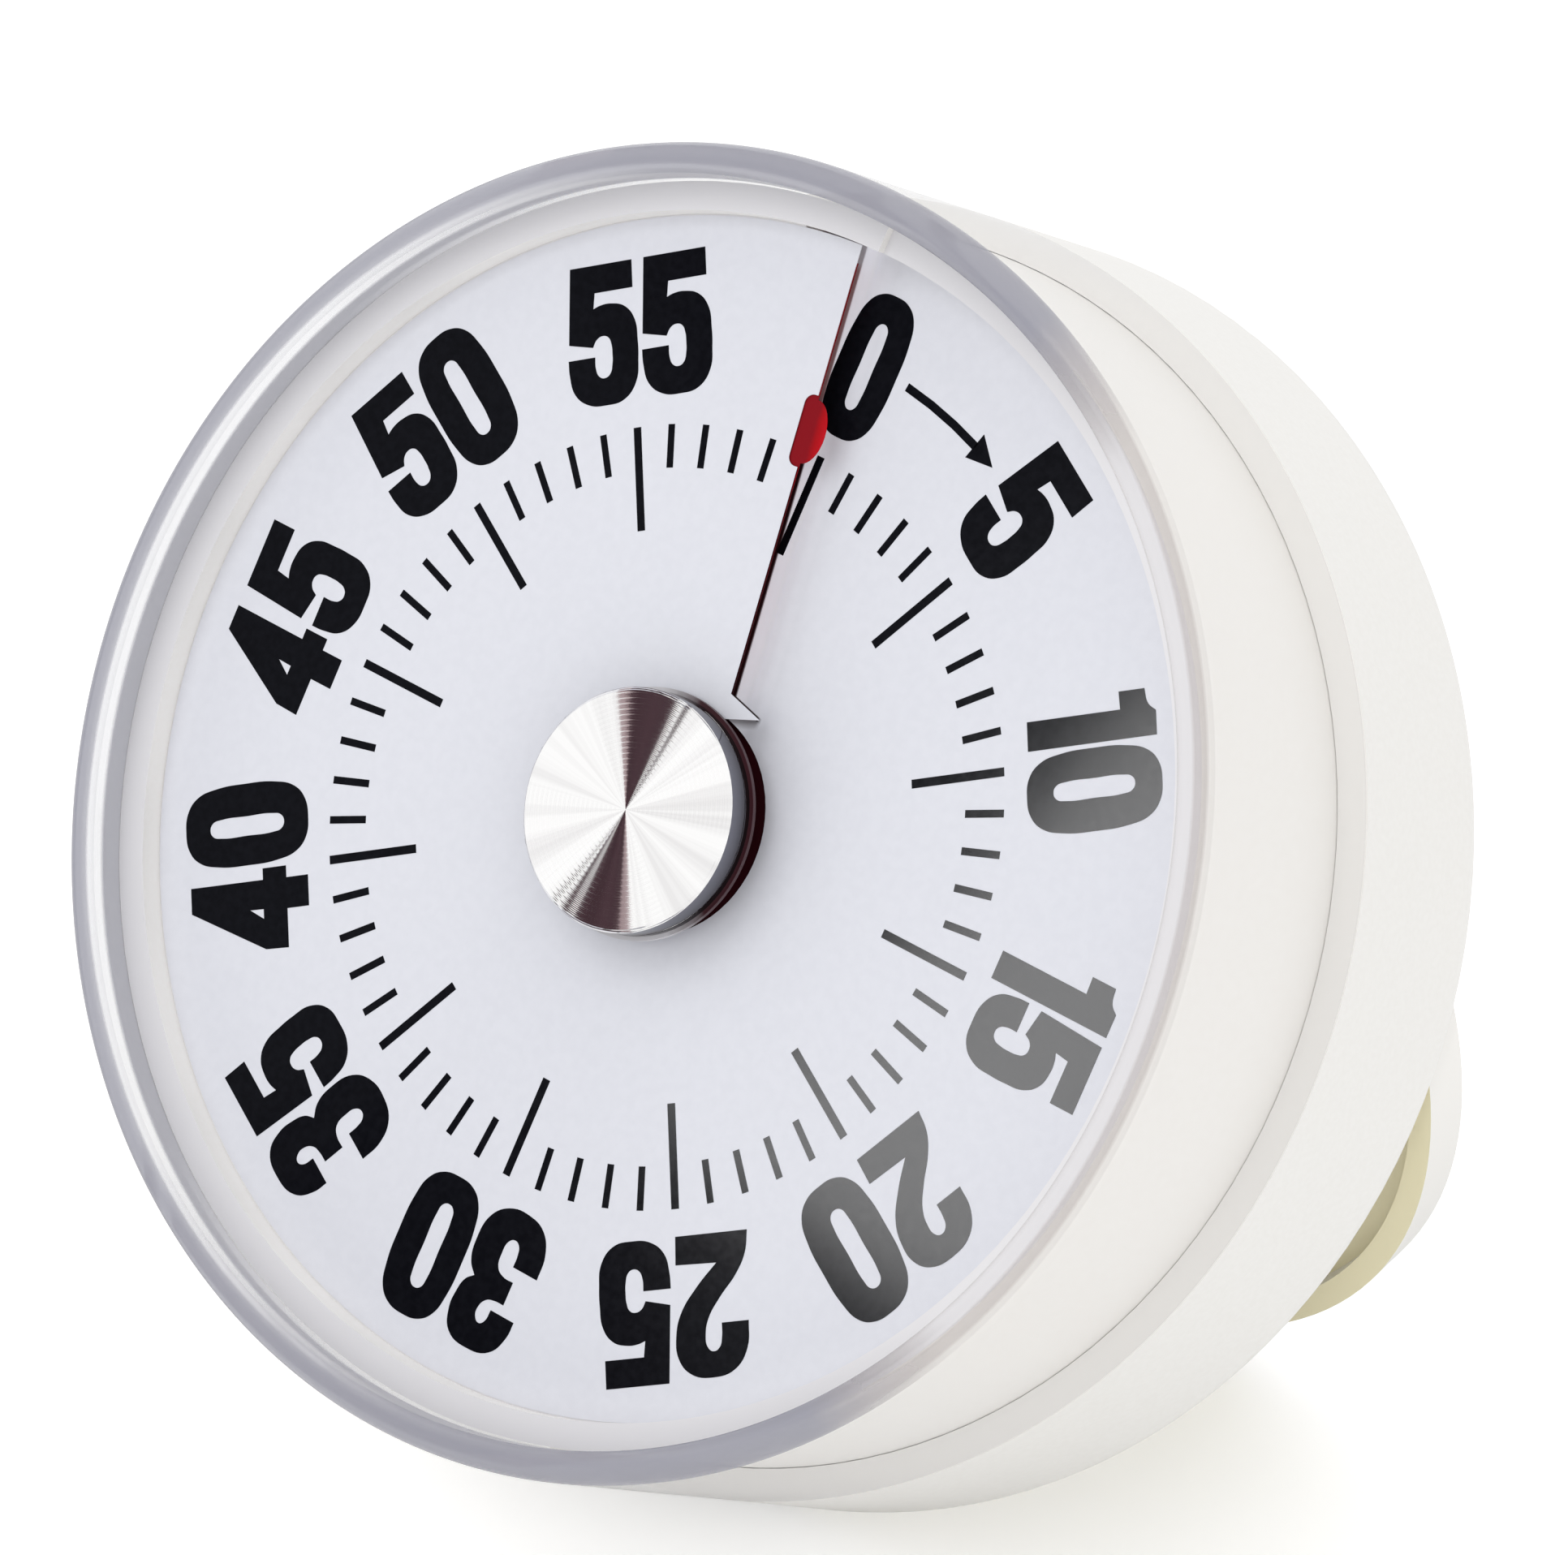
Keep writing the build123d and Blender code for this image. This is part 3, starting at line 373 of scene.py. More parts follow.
# Each mark is a thin block that stands on the dial's axis line and is turned to its minute.
marks, given, end, put = node_group("minute_marks", (
    ("Marks", "NodeSocketInt"), ("Every", "NodeSocketInt"), ("Outer", "NodeSocketFloat"),
    ("Short", "NodeSocketFloat"), ("Long", "NodeSocketFloat"), ("Thin", "NodeSocketFloat"),
    ("Thick", "NodeSocketFloat"), ("Material", "NodeSocketMaterial")))
points = put("GeometryNodeMeshLine", Offset=(0.0, 0.0, 0.0), Count=given["Marks"])
index = put("GeometryNodeInputIndex").outputs[0]
step = worked(put, "DIVIDE", -2.0 * math.pi, given["Marks"])
turned = vector_of(put, 0.0, 0.0, worked(put, "MULTIPLY", index, step))
rest = worked(put, "MODULO", index, given["Every"])
fifth = worked(put, "LESS_THAN", rest, 0.5)
other = worked(put, "GREATER_THAN", rest, 0.5)
joined = put("GeometryNodeJoinGeometry")
for wanted, inner, width in ((fifth, "Long", "Thick"), (other, "Short", "Thin")):
    length = worked(put, "SUBTRACT", given["Outer"], given[inner])
    halfway = worked(put, "MULTIPLY", worked(put, "ADD", given["Outer"], given[inner]), 0.5)
    mark = put("GeometryNodeMeshCube", Size=vector_of(put, given[width], length, INK_THICK))
    moved = put("GeometryNodeTransform", Geometry=mark.outputs["Mesh"],
                Translation=vector_of(put, 0.0, halfway, INK_MIDDLE))
    placed = put("GeometryNodeInstanceOnPoints", Points=points.outputs["Mesh"],
                 Instance=moved.outputs["Geometry"], Selection=wanted, Rotation=turned)
    feed(joined.inputs["Geometry"], placed.outputs["Instances"])
real = put("GeometryNodeRealizeInstances", Geometry=joined.outputs["Geometry"])
inked = put("GeometryNodeSetMaterial", Geometry=real.outputs["Geometry"], Material=given["Material"])
feed(end.inputs["Geometry"], inked.outputs["Geometry"])

MARK_SIZES = {"Marks": 60, "Every": 5, "Outer": 23.5, "Short": 20.87, "Long": 17.2, "Thin": 0.46,
              "Thick": 0.53, "Material": ink}
holder = new_object("minute_marks", bpy.data.meshes.new("minute_marks"))
modifier = holder.modifiers.new("marks", "NODES")
modifier.node_group = marks
for socket in marks.interface.items_tree:
    if socket.in_out == "INPUT":
        modifier[socket.identifier] = MARK_SIZES[socket.name]
ink_shapes = [evaluated(holder)]

# Each numeral has its width and its outlines, drawn 333 units high from its foot.
# In an outline (x, y) is a smooth point and (x, y, 0) is a corner.
GLYPHS = {
    "0": (193, [[(0, 167), (4, 250), (20, 305), (50, 332), (96, 340), (142, 332), (173, 305), (189, 250),
                 (193, 167), (189, 84), (173, 29), (142, 1), (96, -7), (50, 1), (20, 29), (4, 84)],
                [(70, 167), (71, 240), (77, 263), (93, 271), (109, 263), (115, 240), (116, 167), (115, 92),
                 (109, 69), (93, 61), (77, 69), (71, 92)]]),
    "1": (111, [[(42, 0, 0), (111, 0, 0), (111, 331, 0), (54, 331, 0), (36, 312), (0, 304, 0), (0, 238, 0),
                 (42, 240, 0)]]),
    "2": (196, [[(0, 0, 0), (190, 0, 0), (192, 65, 0), (84, 68, 0), (138, 119), (183, 177), (197, 227),
                 (193, 277), (163, 314), (103, 327), (43, 312), (10, 267), (4, 205, 0), (75, 205, 0),
                 (76, 237), (83, 260), (100, 268), (115, 257), (119, 227), (110, 192), (78, 147), (33, 97),
                 (8, 52)]]),
    "3": (193, [[(12, 230, 0), (15, 270), (42, 318), (104, 335), (165, 320), (189, 272), (189, 232),
                 (179, 195), (160, 177, 0), (183, 151), (193, 100), (181, 35), (141, 0), (87, -7), (35, 10),
                 (5, 57), (0, 117, 0), (72, 117, 0), (73, 88), (80, 67), (95, 60), (110, 70), (115, 100),
                 (108, 135), (86, 148), (56, 149, 0), (56, 206, 0), (82, 207), (105, 215), (118, 239),
                 (114, 261), (100, 270), (87, 261), (82, 230, 0)]]),
    "4": (194, [[(92, 0, 0), (165, 0, 0), (165, 61, 0), (193, 61, 0), (193, 127, 0), (166, 127, 0),
                 (167, 332, 0), (106, 332, 0), (2, 125, 0), (0, 61, 0), (92, 61, 0)],
                [(74, 128, 0), (97, 128, 0), (98, 166, 0)]]),
    "5": (191, [[(13, 331, 0), (182, 331, 0), (182, 266, 0), (78, 266, 0), (73, 229, 0), (92, 235),
                 (122, 236), (160, 224), (185, 190), (191, 140), (191, 100), (183, 45), (150, 8), (99, 0),
                 (50, 7), (15, 35), (2, 80), (0, 116, 0), (73, 116, 0), (74, 88), (82, 70), (97, 64),
                 (112, 71), (120, 95), (121, 115), (119, 141), (112, 157), (97, 163), (80, 157),
                 (68, 139, 0), (3, 153, 0)]]),
}
GLYPH_UNIT = 0.0261
GLYPH_SPACE = 11
FOOT_R = 25.15


def glyph_plate(name):
    """Flat closed plate in the shape of one numeral, its foot on y = 0."""
    curve = bpy.data.curves.new(name, "CURVE")
    curve.dimensions = "2D"
    curve.fill_mode = "BOTH"
    curve.resolution_u = 6
    curve.extrude = INK_THICK / 2 / GLYPH_UNIT
    for outline in GLYPHS[name][1]:
        spline = curve.splines.new("BEZIER")
        spline.bezier_points.add(len(outline) - 1)
        spline.use_cyclic_u = True
        for point, corner in zip(spline.bezier_points, outline):
            point.co = (corner[0], corner[1], 0.0)
            kind = "VECTOR" if len(corner) == 3 else "AUTO"
            point.handle_left_type = point.handle_right_type = kind
    mesh = evaluated(new_object(name, curve))
    mesh.transform(Matrix.Translation((0.0, 0.0, INK_MIDDLE)) @ Matrix.Scale(GLYPH_UNIT, 4))
    return mesh


# Where each numeral stands, in degrees clockwise, how far it is set sideways in millimetres, and its width.
for number, angle, aside, stretch in (
        ("0", 0.2, 0.42, 0.87), ("5", 30, -0.37, 1.0), ("10", 60, 0.2, 0.97), ("15", 90, 0.5, 0.97),
        ("20", 120, 0.26, 1.0), ("25", 150, 0.31, 1.0), ("30", 180, 0.29, 1.0), ("35", 210, 0.18, 1.0),
        ("40", 240, 0.21, 1.0), ("45", 270, 0.34, 1.0), ("50", 300, 0.45, 1.0), ("55", 330, 0.4, 1.0)):
    turn = Matrix.Rotation(-math.radians(angle), 4, "Z")
    out = Matrix.Translation((aside, FOOT_R, 0.0))
    narrow = Matrix.Diagonal((stretch, 1.0, 1.0, 1.0))
    width = sum(GLYPHS[digit][0] for digit in number) + GLYPH_SPACE * (len(number) - 1)
    left = -width / 2
    for digit in number:
        plate = glyph_plate(digit)
        plate.transform(turn @ out @ narrow @ Matrix.Translation((left * GLYPH_UNIT, 0.0, 0.0)))
        ink_shapes.append(plate)
        left += GLYPHS[digit][0] + GLYPH_SPACE

# The arrow runs round the dial: its corners are given by their radius and their degrees clockwise.
ARROW_R = 29.7
SHAFT_HALF = 0.26
HEAD_HALF = 0.9
HEAD_BACK = 18.8
HEAD_TIP = 22.4
TIP_DROP = 0.05
bends = (7.0, 11.0, 15.0, 19.0)
shaft = [(ARROW_R + SHAFT_HALF, angle) for angle in bends]
shaft += [(ARROW_R - SHAFT_HALF, angle) for angle in reversed(bends)]
head = [(ARROW_R + HEAD_HALF, HEAD_BACK), (ARROW_R - TIP_DROP, HEAD_TIP), (ARROW_R - HEAD_HALF, HEAD_BACK)]
arrow = bmesh.new()
for outline in (shaft, head):
    corners = []
    for reach, angle in outline:
        around = math.radians(angle)
        corners.append(arrow.verts.new((reach * math.sin(around), reach * math.cos(around), INK_LOW)))
    raised = bmesh.ops.extrude_face_region(arrow, geom=[arrow.faces.new(corners)])["geom"]
    tops = [item for item in raised if isinstance(item, bmesh.types.BMVert)]
    bmesh.ops.translate(arrow, verts=tops, vec=(0.0, 0.0, INK_THICK))
arrow_mesh = bpy.data.meshes.new("arrow")
arrow.to_mesh(arrow_mesh)
arrow.free()
ink_shapes.append(arrow_mesh)

film = bmesh.new()
film.from_mesh(frame["nodes"]["dial_sheet"].data)
film.transform(Matrix.Scale(1.0 / MM, 4) @ dial_frame.inverted())
film_tree = BVHTree.FromBMesh(film)
LIP_SIDE = -1.85
ABOVE_LIP = 2.0
BELOW_LIP = 0.0


def film_height(x, y):
    """Height of the film's top at a place; the dial's first minutes are printed on its lower end."""
    above = BELOW_LIP if y > 0.0 and x > LIP_SIDE else ABOVE_LIP
    return film_tree.ray_cast(Vector((x, y, above)), Vector((0.0, 0.0, -1.0)))[0].z


# The flat print is cut on every millimetre, so that it can follow the film's climb.
WELD = 0.0005
PRINT_REACH = 35
printed = bmesh.new()
for mesh in ink_shapes:
    printed.from_mesh(mesh)
bmesh.ops.remove_doubles(printed, verts=printed.verts, dist=WELD)
for axis in ((1.0, 0.0, 0.0), (0.0, 1.0, 0.0)):
    for number in range(1 - PRINT_REACH, PRINT_REACH + 1):
        everything = list(printed.verts) + list(printed.edges) + list(printed.faces)
        bmesh.ops.bisect_plane(printed, geom=everything, plane_co=Vector(axis) * number, plane_no=axis)
bmesh.ops.triangulate(printed, faces=printed.faces)
for vertex in printed.verts:
    vertex.co.z += film_height(vertex.co.x, vertex.co.y)
bmesh.ops.recalc_face_normals(printed, faces=printed.faces)
film.free()
print_mesh = bpy.data.meshes.new("dial_print")
printed.to_mesh(print_mesh)
printed.free()
print_mesh.materials.clear()
print_mesh.materials.append(ink)


def into_frame(mesh):
    """Turn a mesh drawn in millimetres on the dial into the row frame."""
    mesh.transform(dial_frame @ Matrix.Scale(MM, 4))
    mesh.update()


into_frame(print_mesh)
dial_print = new_object("dial_print", print_mesh)
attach(dial_print, "case")

# ---- Red disc and its hub ----
# A glossy red film behind the dial, welded to a moulded hub of the same red.
# Its tab stands out past the lip, over the start of the dial, deeper red where the lip shades it.
# Beside the tab and round the hub the film is nearly black with shade.

PAST_TAB = (-5.0, 8.0)
red_film, surface, add = shader("red_film")
mottle = grain(add, 1200.0)
place = on_dial(add)
across = along(add, place, LIP_ACROSS)
radius = length_of(add, place)
upper_half = worked(add, "GREATER_THAN", parts_of(add, place)["Y"], 0.0)
# The tab's deeper red where the lip shades it, and the near black beside the tab and round the hub, are
# painted shade.
on_tab = ramped(add, radius, *RADII, ((21.5, 0.0), (22.4, 1.0), (26.9, 1.0), (27.6, 0.0)))
speckled = worked(add, "ADD", across, worked(add, "MULTIPLY", mottle, 0.3))
tab_red = ramped(add, speckled, *PAST_TAB, (
    (1.7, (0.46, 0.003, 0.010)), (2.4, (0.24, 0.003, 0.009)), (3.55, (0.24, 0.003, 0.009)),
    (3.90, (0.38, 0.002, 0.006)), (4.4, (0.50, 0.003, 0.010))))
even_red = tinted(add, mottle, (0.43, 0.003, 0.009), (0.48, 0.003, 0.011))
red = blended(add, worked(add, "MULTIPLY", on_tab, upper_half), even_red, tab_red)
at_lip = ramped(add, across, *PAST_TAB, ((2.6, 0.0), (2.9, 1.0), (3.6, 1.0), (3.7, 0.0)))
beside_tab = ramped(add, radius, *RADII, (
    (9.0, 1.0), (21.0, 0.8), (22.4, 0.0), (26.9, 0.0), (27.6, 0.6)))
round_hub = ramped(add, radius, *RADII, ((8.2, 1.0), (9.0, 0.0)))
shade = worked(add, "MAXIMUM", worked(add, "MULTIPLY", at_lip, beside_tab, upper_half), round_hub)
surface(Roughness=0.25, Specular_IOR_Level=0.12, Base_Color=blended(add, shade, red, (0.030, 0.004, 0.007)))
finish(red_film, "red_disc")

# The hub is the film's red, painted nearly black for the shade it lies in under the knob.
red_moulding, surface, add = shader("red_moulding")
moulded = grain(add, 1800.0)
surface(Roughness=0.4, Base_Color=tinted(add, moulded, (0.045, 0.003, 0.007), (0.065, 0.004, 0.010)),
        Normal=bumped(add, moulded, strength=0.1, depth=0.00003))
finish(red_moulding, "disc_hub")

# ---- Knob ----
# A solid knob turned from bright metal, its face cut in fine circles from edge to middle.
# Each circle is a V-groove, so the face mirrors the room in two fans.

FINE_PITCH = 0.11
FINE_SLOPE = 0.26
COARSE_PITCH = 0.33
COARSE_SLOPE = 0.10


def flattened(add, vector):
    """What a vector reaches square to the dial's axis."""
    return add("ShaderNodeVectorMath", vector, (1.0, 1.0, 0.0), operation="MULTIPLY").outputs["Vector"]


def wave(add, distance, pitch):
    return worked(add, "SINE", worked(add, "MULTIPLY", distance, 2.0 * math.pi / pitch))


spun, surface, add = shader("spun_face")
place = on_dial(add)
outward = flattened(add, place)
radius = length_of(add, outward)
spoke = add("ShaderNodeVectorMath", outward, operation="NORMALIZE").outputs["Vector"]
turned_back = add("ShaderNodeVectorRotate", spoke, rotation_type="EULER_XYZ", Rotation=DIAL_TURN)
in_world = add("ShaderNodeVectorTransform", turned_back.outputs["Vector"], vector_type="VECTOR",
               convert_from="OBJECT", convert_to="WORLD")
fine_cut = worked(add, "MULTIPLY", worked(add, "SIGN", wave(add, radius, FINE_PITCH)), FINE_SLOPE)
coarse_cut = worked(add, "MULTIPLY", wave(add, radius, COARSE_PITCH), COARSE_SLOPE)
leaned = add("ShaderNodeVectorMath", in_world.outputs["Vector"], operation="SCALE",
             Scale=worked(add, "ADD", fine_cut, coarse_cut))
grooved = add("ShaderNodeVectorMath", add("ShaderNodeNewGeometry").outputs["Normal"],
              leaned.outputs["Vector"], operation="ADD")
evened = add("ShaderNodeVectorMath", grooved.outputs["Vector"], operation="NORMALIZE")
# Faint grey streaks that run out from the middle are painted into the face: painted reflection streaks
# beside its fans.
painted_reflection_streaks = add("ShaderNodeTexNoise", spoke, Scale=5.0, Detail=4.0).outputs["Fac"]
bright_face = tinted(add, painted_reflection_streaks, (0.84, 0.83, 0.83), (0.98, 0.975, 0.97), 0.36, 0.56)
# The knob's side is painted dark grey, darker toward the dial: painted shade and painted dark reflections
# on the bright metal.
painted_side_shade = ramped(add, parts_of(add, place)["Z"], 1.0, 4.0, (
    (1.6, (0.10, 0.09, 0.10)), (2.3, (0.11, 0.105, 0.12)),
    (2.6, (0.15, 0.15, 0.17)), (3.3, (0.21, 0.21, 0.24))))
on_side = worked(add, "LESS_THAN", facing(add, dial_out), EDGE_FACING)
surface(Metallic=1.0, Roughness=0.07, Normal=evened.outputs["Vector"],
        Base_Color=blended(add, on_side, bright_face, painted_side_shade))
finish(spun, "knob")

# ---- Washer under the knob ----
# A thin light washer, moulded in plastic and pressed on the hub, that keeps the knob off it.
# It is painted dark red on one side, painted shade and a painted reflection of the hub's dark red.

SHADE_TOWARD = (0.886, 0.463, 0.0)
washer, surface, add = shader("washer")
worn = grain(add, 1400.0)
# Its dark side is painted shade and a painted reflection of the hub's red.
painted_shade_side = worked(add, "ADD", along(add, on_dial(add), SHADE_TOWARD), worn)
surface(Roughness=between(add, worn, 0.25, 0.4), Base_Color=ramped(add, painted_shade_side, -8.0, 9.0, (
    (2.0, (0.66, 0.65, 0.68)), (4.6, (0.045, 0.008, 0.013)))))
finish(washer, "knob_collar")

# ---- Clear rim ----
# A water-clear styrene moulding, polished in the tool, round the dial and back over the body.
# Its edges are slightly blue where the eye looks along the wall instead of through it.

RIM_R = 40.0
RIM_IN = 38.0
RIM_FRONT = 5.0
RIM_BACK = -14.4
RIM_ROUND = 1.2
RIM_BREAK = 0.4
ROUND_STEPS = 12
BREAK_STEPS = 4
RIM_STEPS = 288


def lathe(profile, steps):
    """Closed ring with this cross-section, given as (radius, height, sharp), round the dial's axis."""
    ring = bmesh.new()
    rows = []
    for number in range(steps):
        around = 2.0 * math.pi * number / steps
        rows.append([ring.verts.new((reach * math.cos(around), reach * math.sin(around), height))
                     for reach, height, sharp in profile])
    count = len(profile)
    for number, row in enumerate(rows):
        after = rows[(number + 1) % steps]
        for corner in range(count):
            following = (corner + 1) % count
            face = ring.faces.new((row[corner], after[corner], after[following], row[following]))
            face.smooth = True
        for corner in range(count):
            ring.edges.get((row[corner], after[corner])).smooth = not profile[corner][2]
    bmesh.ops.recalc_face_normals(ring, faces=ring.faces)
    mesh = bpy.data.meshes.new("ring")
    ring.to_mesh(mesh)
    ring.free()
    return mesh


rim_profile = [(RIM_IN, RIM_BACK, True), (RIM_R, RIM_BACK, True), (RIM_R, RIM_FRONT - RIM_ROUND, False)]
for number in range(1, ROUND_STEPS + 1):
    turn = math.radians(90.0 * number / ROUND_STEPS)
    rim_profile.append((RIM_R - RIM_ROUND * (1.0 - math.cos(turn)),
                        RIM_FRONT - RIM_ROUND * (1.0 - math.sin(turn)), False))
for number in range(0, BREAK_STEPS + 1):
    turn = math.radians(90.0 * number / BREAK_STEPS)
    rim_profile.append((RIM_IN + RIM_BREAK * (1.0 - math.sin(turn)),
                        RIM_FRONT - RIM_BREAK * (1.0 - math.cos(turn)), False))
rim_mesh = lathe(rim_profile, RIM_STEPS)
into_frame(rim_mesh)
clear_rim = new_object("clear_moulding", rim_mesh)
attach(clear_rim, "case")
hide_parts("clear_rim")

# How much the rim hides goes by the place round it: its grey, its lines and its bright stripe are painted
# shade, painted reflections and a painted highlight. On one side it is all but clear, with fine lines, and
# it deepens round to the other, where a bright stripe runs inside the grey. Seen edge-on, its wall veils.
RIM_CLEAREST = (0.972, 0.235, 0.0)
RIM_RANGE = (37.9, 40.1)
WALL_RANGE = (-15.0, 6.0)
clear, surface, add = shader("clear_styrene")
place = on_dial(add)
height = parts_of(add, place)["Z"]
radius = length_of(add, flattened(add, place))
around_rim = worked(add, "DIVIDE", along(add, place, RIM_CLEAREST), radius)
deep = ramped(add, around_rim, -1.0, 1.0, ((0.56, 1.0), (0.75, 0.0)))
bright_stripe = ramped(add, around_rim, -1.0, 1.0, ((-0.75, 1.0), (-0.15, 0.0)))

band = ramped(add, radius, *RIM_RANGE, (
    (38.0, 0.86), (38.2, 0.84), (38.45, 0.86), (38.7, 0.93), (39.2, 0.90), (40.0, 0.86)))
stripe = ramped(add, radius, *RIM_RANGE, (
    (38.02, 0.44), (38.2, 0.42), (38.38, 0.80), (38.75, 0.90), (39.2, 0.92), (40.0, 0.86)))
lines = ramped(add, radius, *RIM_RANGE, (
    (38.0, 0.25), (38.1, 0.12), (38.3, 0.02), (39.1, 0.02), (39.3, 0.42), (39.8, 0.45), (39.9, 0.12)))
painted_front_bands = blended(add, deep, lines, blended(add, bright_stripe, band, stripe))

inner_band = ramped(add, height, *WALL_RANGE, ((1.2, 0.03), (1.6, 0.30), (2.6, 0.36), (3.0, 0.86)))
inner_stripe = ramped(add, height, *WALL_RANGE, (
    (0.9, 0.03), (1.3, 0.30), (1.6, 0.34), (1.9, 0.84), (3.6, 0.84), (4.0, 0.36)))
inner_lines = ramped(add, height, *WALL_RANGE, ((3.9, 0.03), (4.4, 0.10), (4.6, 0.25)))
painted_inner_bands = blended(add, deep, inner_lines, blended(add, bright_stripe, inner_band, inner_stripe))

edge_on = add("ShaderNodeLayerWeight", Blend=0.5).outputs["Facing"]
veil = ramped(add, edge_on, 0.0, 1.0, ((0.60, 0.0), (0.80, 0.18), (0.97, 0.60)))
wall_haze = ramped(add, height, *WALL_RANGE, ((-14.4, 0.14), (-14.2, 0.03), (3.0, 0.03)))
wall_haze = worked(add, "MAXIMUM", wall_haze, veil)
wall_tone = blended(add, veil, (0.82, 0.81, 0.80), (0.30, 0.30, 0.35))

on_front = ramped(add, height, 3.0, 5.0, ((3.74, 0.0), (3.84, 1.0)))
on_inside = worked(add, "MULTIPLY", worked(add, "LESS_THAN", radius, RIM_IN + 0.012),
                   worked(add, "LESS_THAN", height, RIM_FRONT - RIM_BREAK + 0.02))
haze_with_painted_bands = blended(add, on_inside, blended(add, on_front, wall_haze, painted_front_bands), painted_inner_bands)
painted_edge_tone = blended(add, deep, (0.36, 0.30, 0.29), (0.30, 0.30, 0.355))
shaded = worked(add, "MAXIMUM", on_front, on_inside)
surface(Roughness=0.06, IOR=1.55, Alpha=haze_with_painted_bands, Base_Color=blended(add, shaded, wall_tone, painted_edge_tone))
rim_mesh.materials.append(clear)

# ---- Table ----
# A wide matt table top, pale enough to show as plain white.
# It keeps the timer's soft shadow.

TABLE_HALF = 6.0
TABLE_GLOW = 0.34
table_mesh = bpy.data.meshes.new("table_top")
plane = bmesh.new()
bmesh.ops.create_grid(plane, x_segments=1, y_segments=1, size=TABLE_HALF)
plane.to_mesh(table_mesh)
plane.free()
table_top = new_object("table_top", table_mesh)

pale, surface, add = shader("pale_table")
seen = add("ShaderNodeLightPath").outputs["Is Camera Ray"]
surface(Base_Color=(0.96, 0.96, 0.96), Roughness=0.9, Emission_Color=(1.0, 1.0, 1.0),
        Emission_Strength=worked(add, "MULTIPLY", seen, TABLE_GLOW))
table_mesh.materials.append(pale)

# ---- Light ----
# Plain soft light from all round, a little stronger from the front and above.
# The camera and the timer's gloss see the studio as white.

AMBIENT = 0.93
world = bpy.data.worlds.new("studio")
bpy.context.scene.world = world
world.use_nodes = True
world.cycles.sampling_method = "NONE"
add = adder(world.node_tree)
rays = add("ShaderNodeLightPath").outputs
seen = worked(add, "MAXIMUM", rays["Is Camera Ray"], rays["Is Glossy Ray"], rays["Is Transmission Ray"])
backdrop = world.node_tree.nodes["Background"]
feed(backdrop.inputs["Color"], (1.0, 1.0, 1.0))
feed(backdrop.inputs["Strength"], between(add, seen, AMBIENT, 1.0))


def dial_point(x, y, z):
    """A point given in millimetres from the dial's centre, in the row frame."""
    return dial_frame @ Vector((x * MM, y * MM, z * MM))


def soft_box(name, place, aim, size, power):
    """Rectangular lamp at a point on the dial's axes, aimed at another, all in millimetres."""
    lamp = bpy.data.lights.new(name, "AREA")
    lamp.shape = "RECTANGLE"
    lamp.size = size[0] * MM
    lamp.size_y = size[1] * MM
    lamp.energy = power
    start = dial_point(*place)
    toward = dial_point(*aim) - start
    holder = new_object(name, lamp)
    holder.matrix_world = Matrix.Translation(start) @ toward.to_track_quat("-Z", "Y").to_matrix().to_4x4()
    return holder


def lights_only(lamp, collection_name, piece):
    """Keep a lamp's light on one piece."""
    receivers = bpy.data.collections.new(collection_name)
    receivers.objects.link(piece)
    lamp.light_linking.receiver_collection = receivers


key_light = soft_box("key_light", place=(-240, 340, 640), aim=(0, 0, 0), size=(420, 420), power=0.9)
key_light.visible_glossy = False

# The knob's dark fans are a felt card that only reflections see, in a bow-tie round its mirror direction.
# A blade of it stands on the upper side (1) or the lower (-1), between two swings in degrees.
VIEW = Vector((0.532, 0.129, 0.837)).normalized()
DARK = 0
PALE = 1
BLADES = ((1.0, (87.0, 114.0), DARK), (-1.0, (83.0, 118.0), DARK), (1.0, (114.0, 121.0), PALE),
          (-1.0, (118.0, 123.0), PALE), (1.0, (79.0, 82.0), DARK), (-1.0, (77.0, 80.0), DARK))
UPPER_AWAY = 400.0
LOWER_AWAY = 75.0
TILTS = range(2, 54, 4)


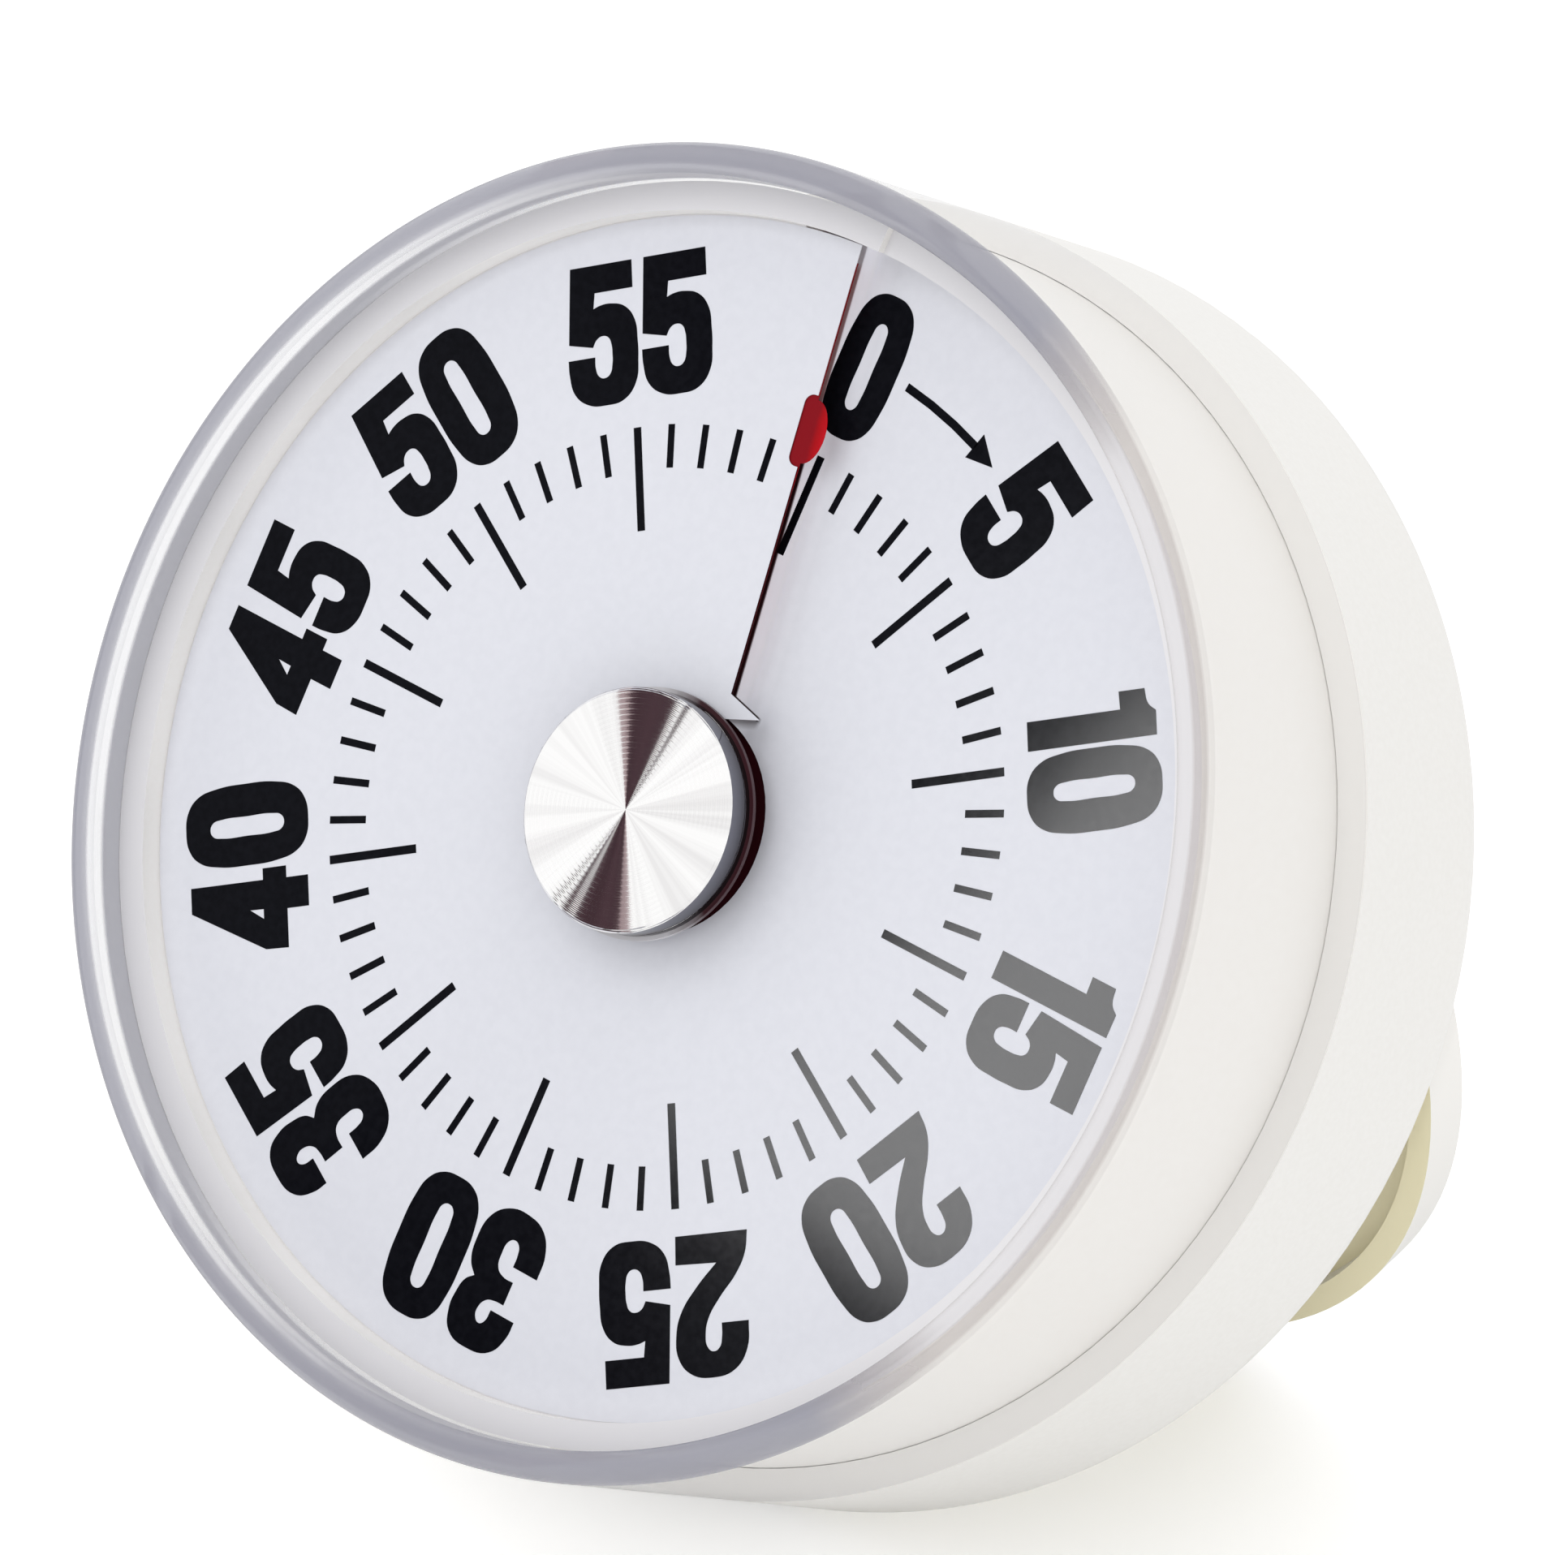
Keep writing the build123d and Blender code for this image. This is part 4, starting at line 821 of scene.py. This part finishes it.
def card_corner(side, swing, tilt):
    """Where a groove's side that leans by the tilt, toward the swing, sends the line of sight."""
    leaning = Matrix.Rotation(math.radians(swing), 3, "Z") @ Vector((1.0, 0.0, 0.0))
    upright = Vector((0.0, 0.0, 1.0)) * math.cos(math.radians(tilt))
    half = upright + leaning * side * math.sin(math.radians(tilt))
    mirrored = 2.0 * VIEW.dot(half) * half - VIEW
    return dial_point(*(mirrored * (UPPER_AWAY if side > 0.0 else LOWER_AWAY)))


card_mesh = bpy.data.meshes.new("dark_card")
card = bmesh.new()
for side, swings, tone in BLADES:
    pairs = [[card.verts.new(card_corner(side, swing, tilt)) for swing in swings] for tilt in TILTS]
    for near, far in zip(pairs, pairs[1:]):
        card.faces.new((near[0], near[1], far[1], far[0])).material_index = tone
card.to_mesh(card_mesh)
card.free()
for name, colour in (("dark_card", (0.065, 0.036, 0.044)), ("pale_card", (0.42, 0.32, 0.33))):
    felt = bpy.data.materials.new(name)
    felt.use_nodes = True
    glow = adder(felt.node_tree)("ShaderNodeEmission", colour).outputs["Emission"]
    feed(felt.node_tree.nodes["Material Output"].inputs["Surface"], glow)
    card_mesh.materials.append(felt)
dark_card = new_object("dark_card", card_mesh)
for ray in ("camera", "diffuse", "transmission", "volume_scatter", "shadow"):
    setattr(dark_card, "visible_" + ray, False)

# A low window on the left shines in the gloss of the numerals from 10 to 20.
low_window = soft_box("low_window", place=(-88, -27, 210), aim=(26, 0, 0), size=(30, 54), power=0.36)
low_window.visible_diffuse = False
lights_only(low_window, "glossy_print", dial_print)

# A reflector on the right lifts the shade inside the open stand.
reflector = soft_box("reflector", place=(216, 40, 330), aim=(30, -45, -45), size=(60, 60), power=0.3)
reflector.visible_glossy = False
lights_only(reflector, "open_stand", frame["nodes"]["stand_flap"])

# ---- Camera ----
# It looks at the dial from its right, a little above its middle.
# Its long lens keeps the dial's circles nearly even.

lens = bpy.data.cameras.new("camera")
lens.lens = 223.6
lens.sensor_width = 36.0
lens.clip_start = 0.01
lens.clip_end = 20.0
camera = new_object("camera", lens)
camera_right = Vector((0.7561, 0.3908, -0.5249))
camera_up = Vector((-0.3927, 0.9126, 0.1137))
turn = Matrix((camera_right, camera_up, camera_right.cross(camera_up))).transposed()
camera.matrix_world = (Matrix.Translation(dial_point(308.2, 74.7, 485.4))
                       @ (dial_frame.to_3x3().normalized() @ turn).to_4x4())
bpy.context.scene.camera = camera
bpy.context.scene.view_settings.view_transform = "Standard"
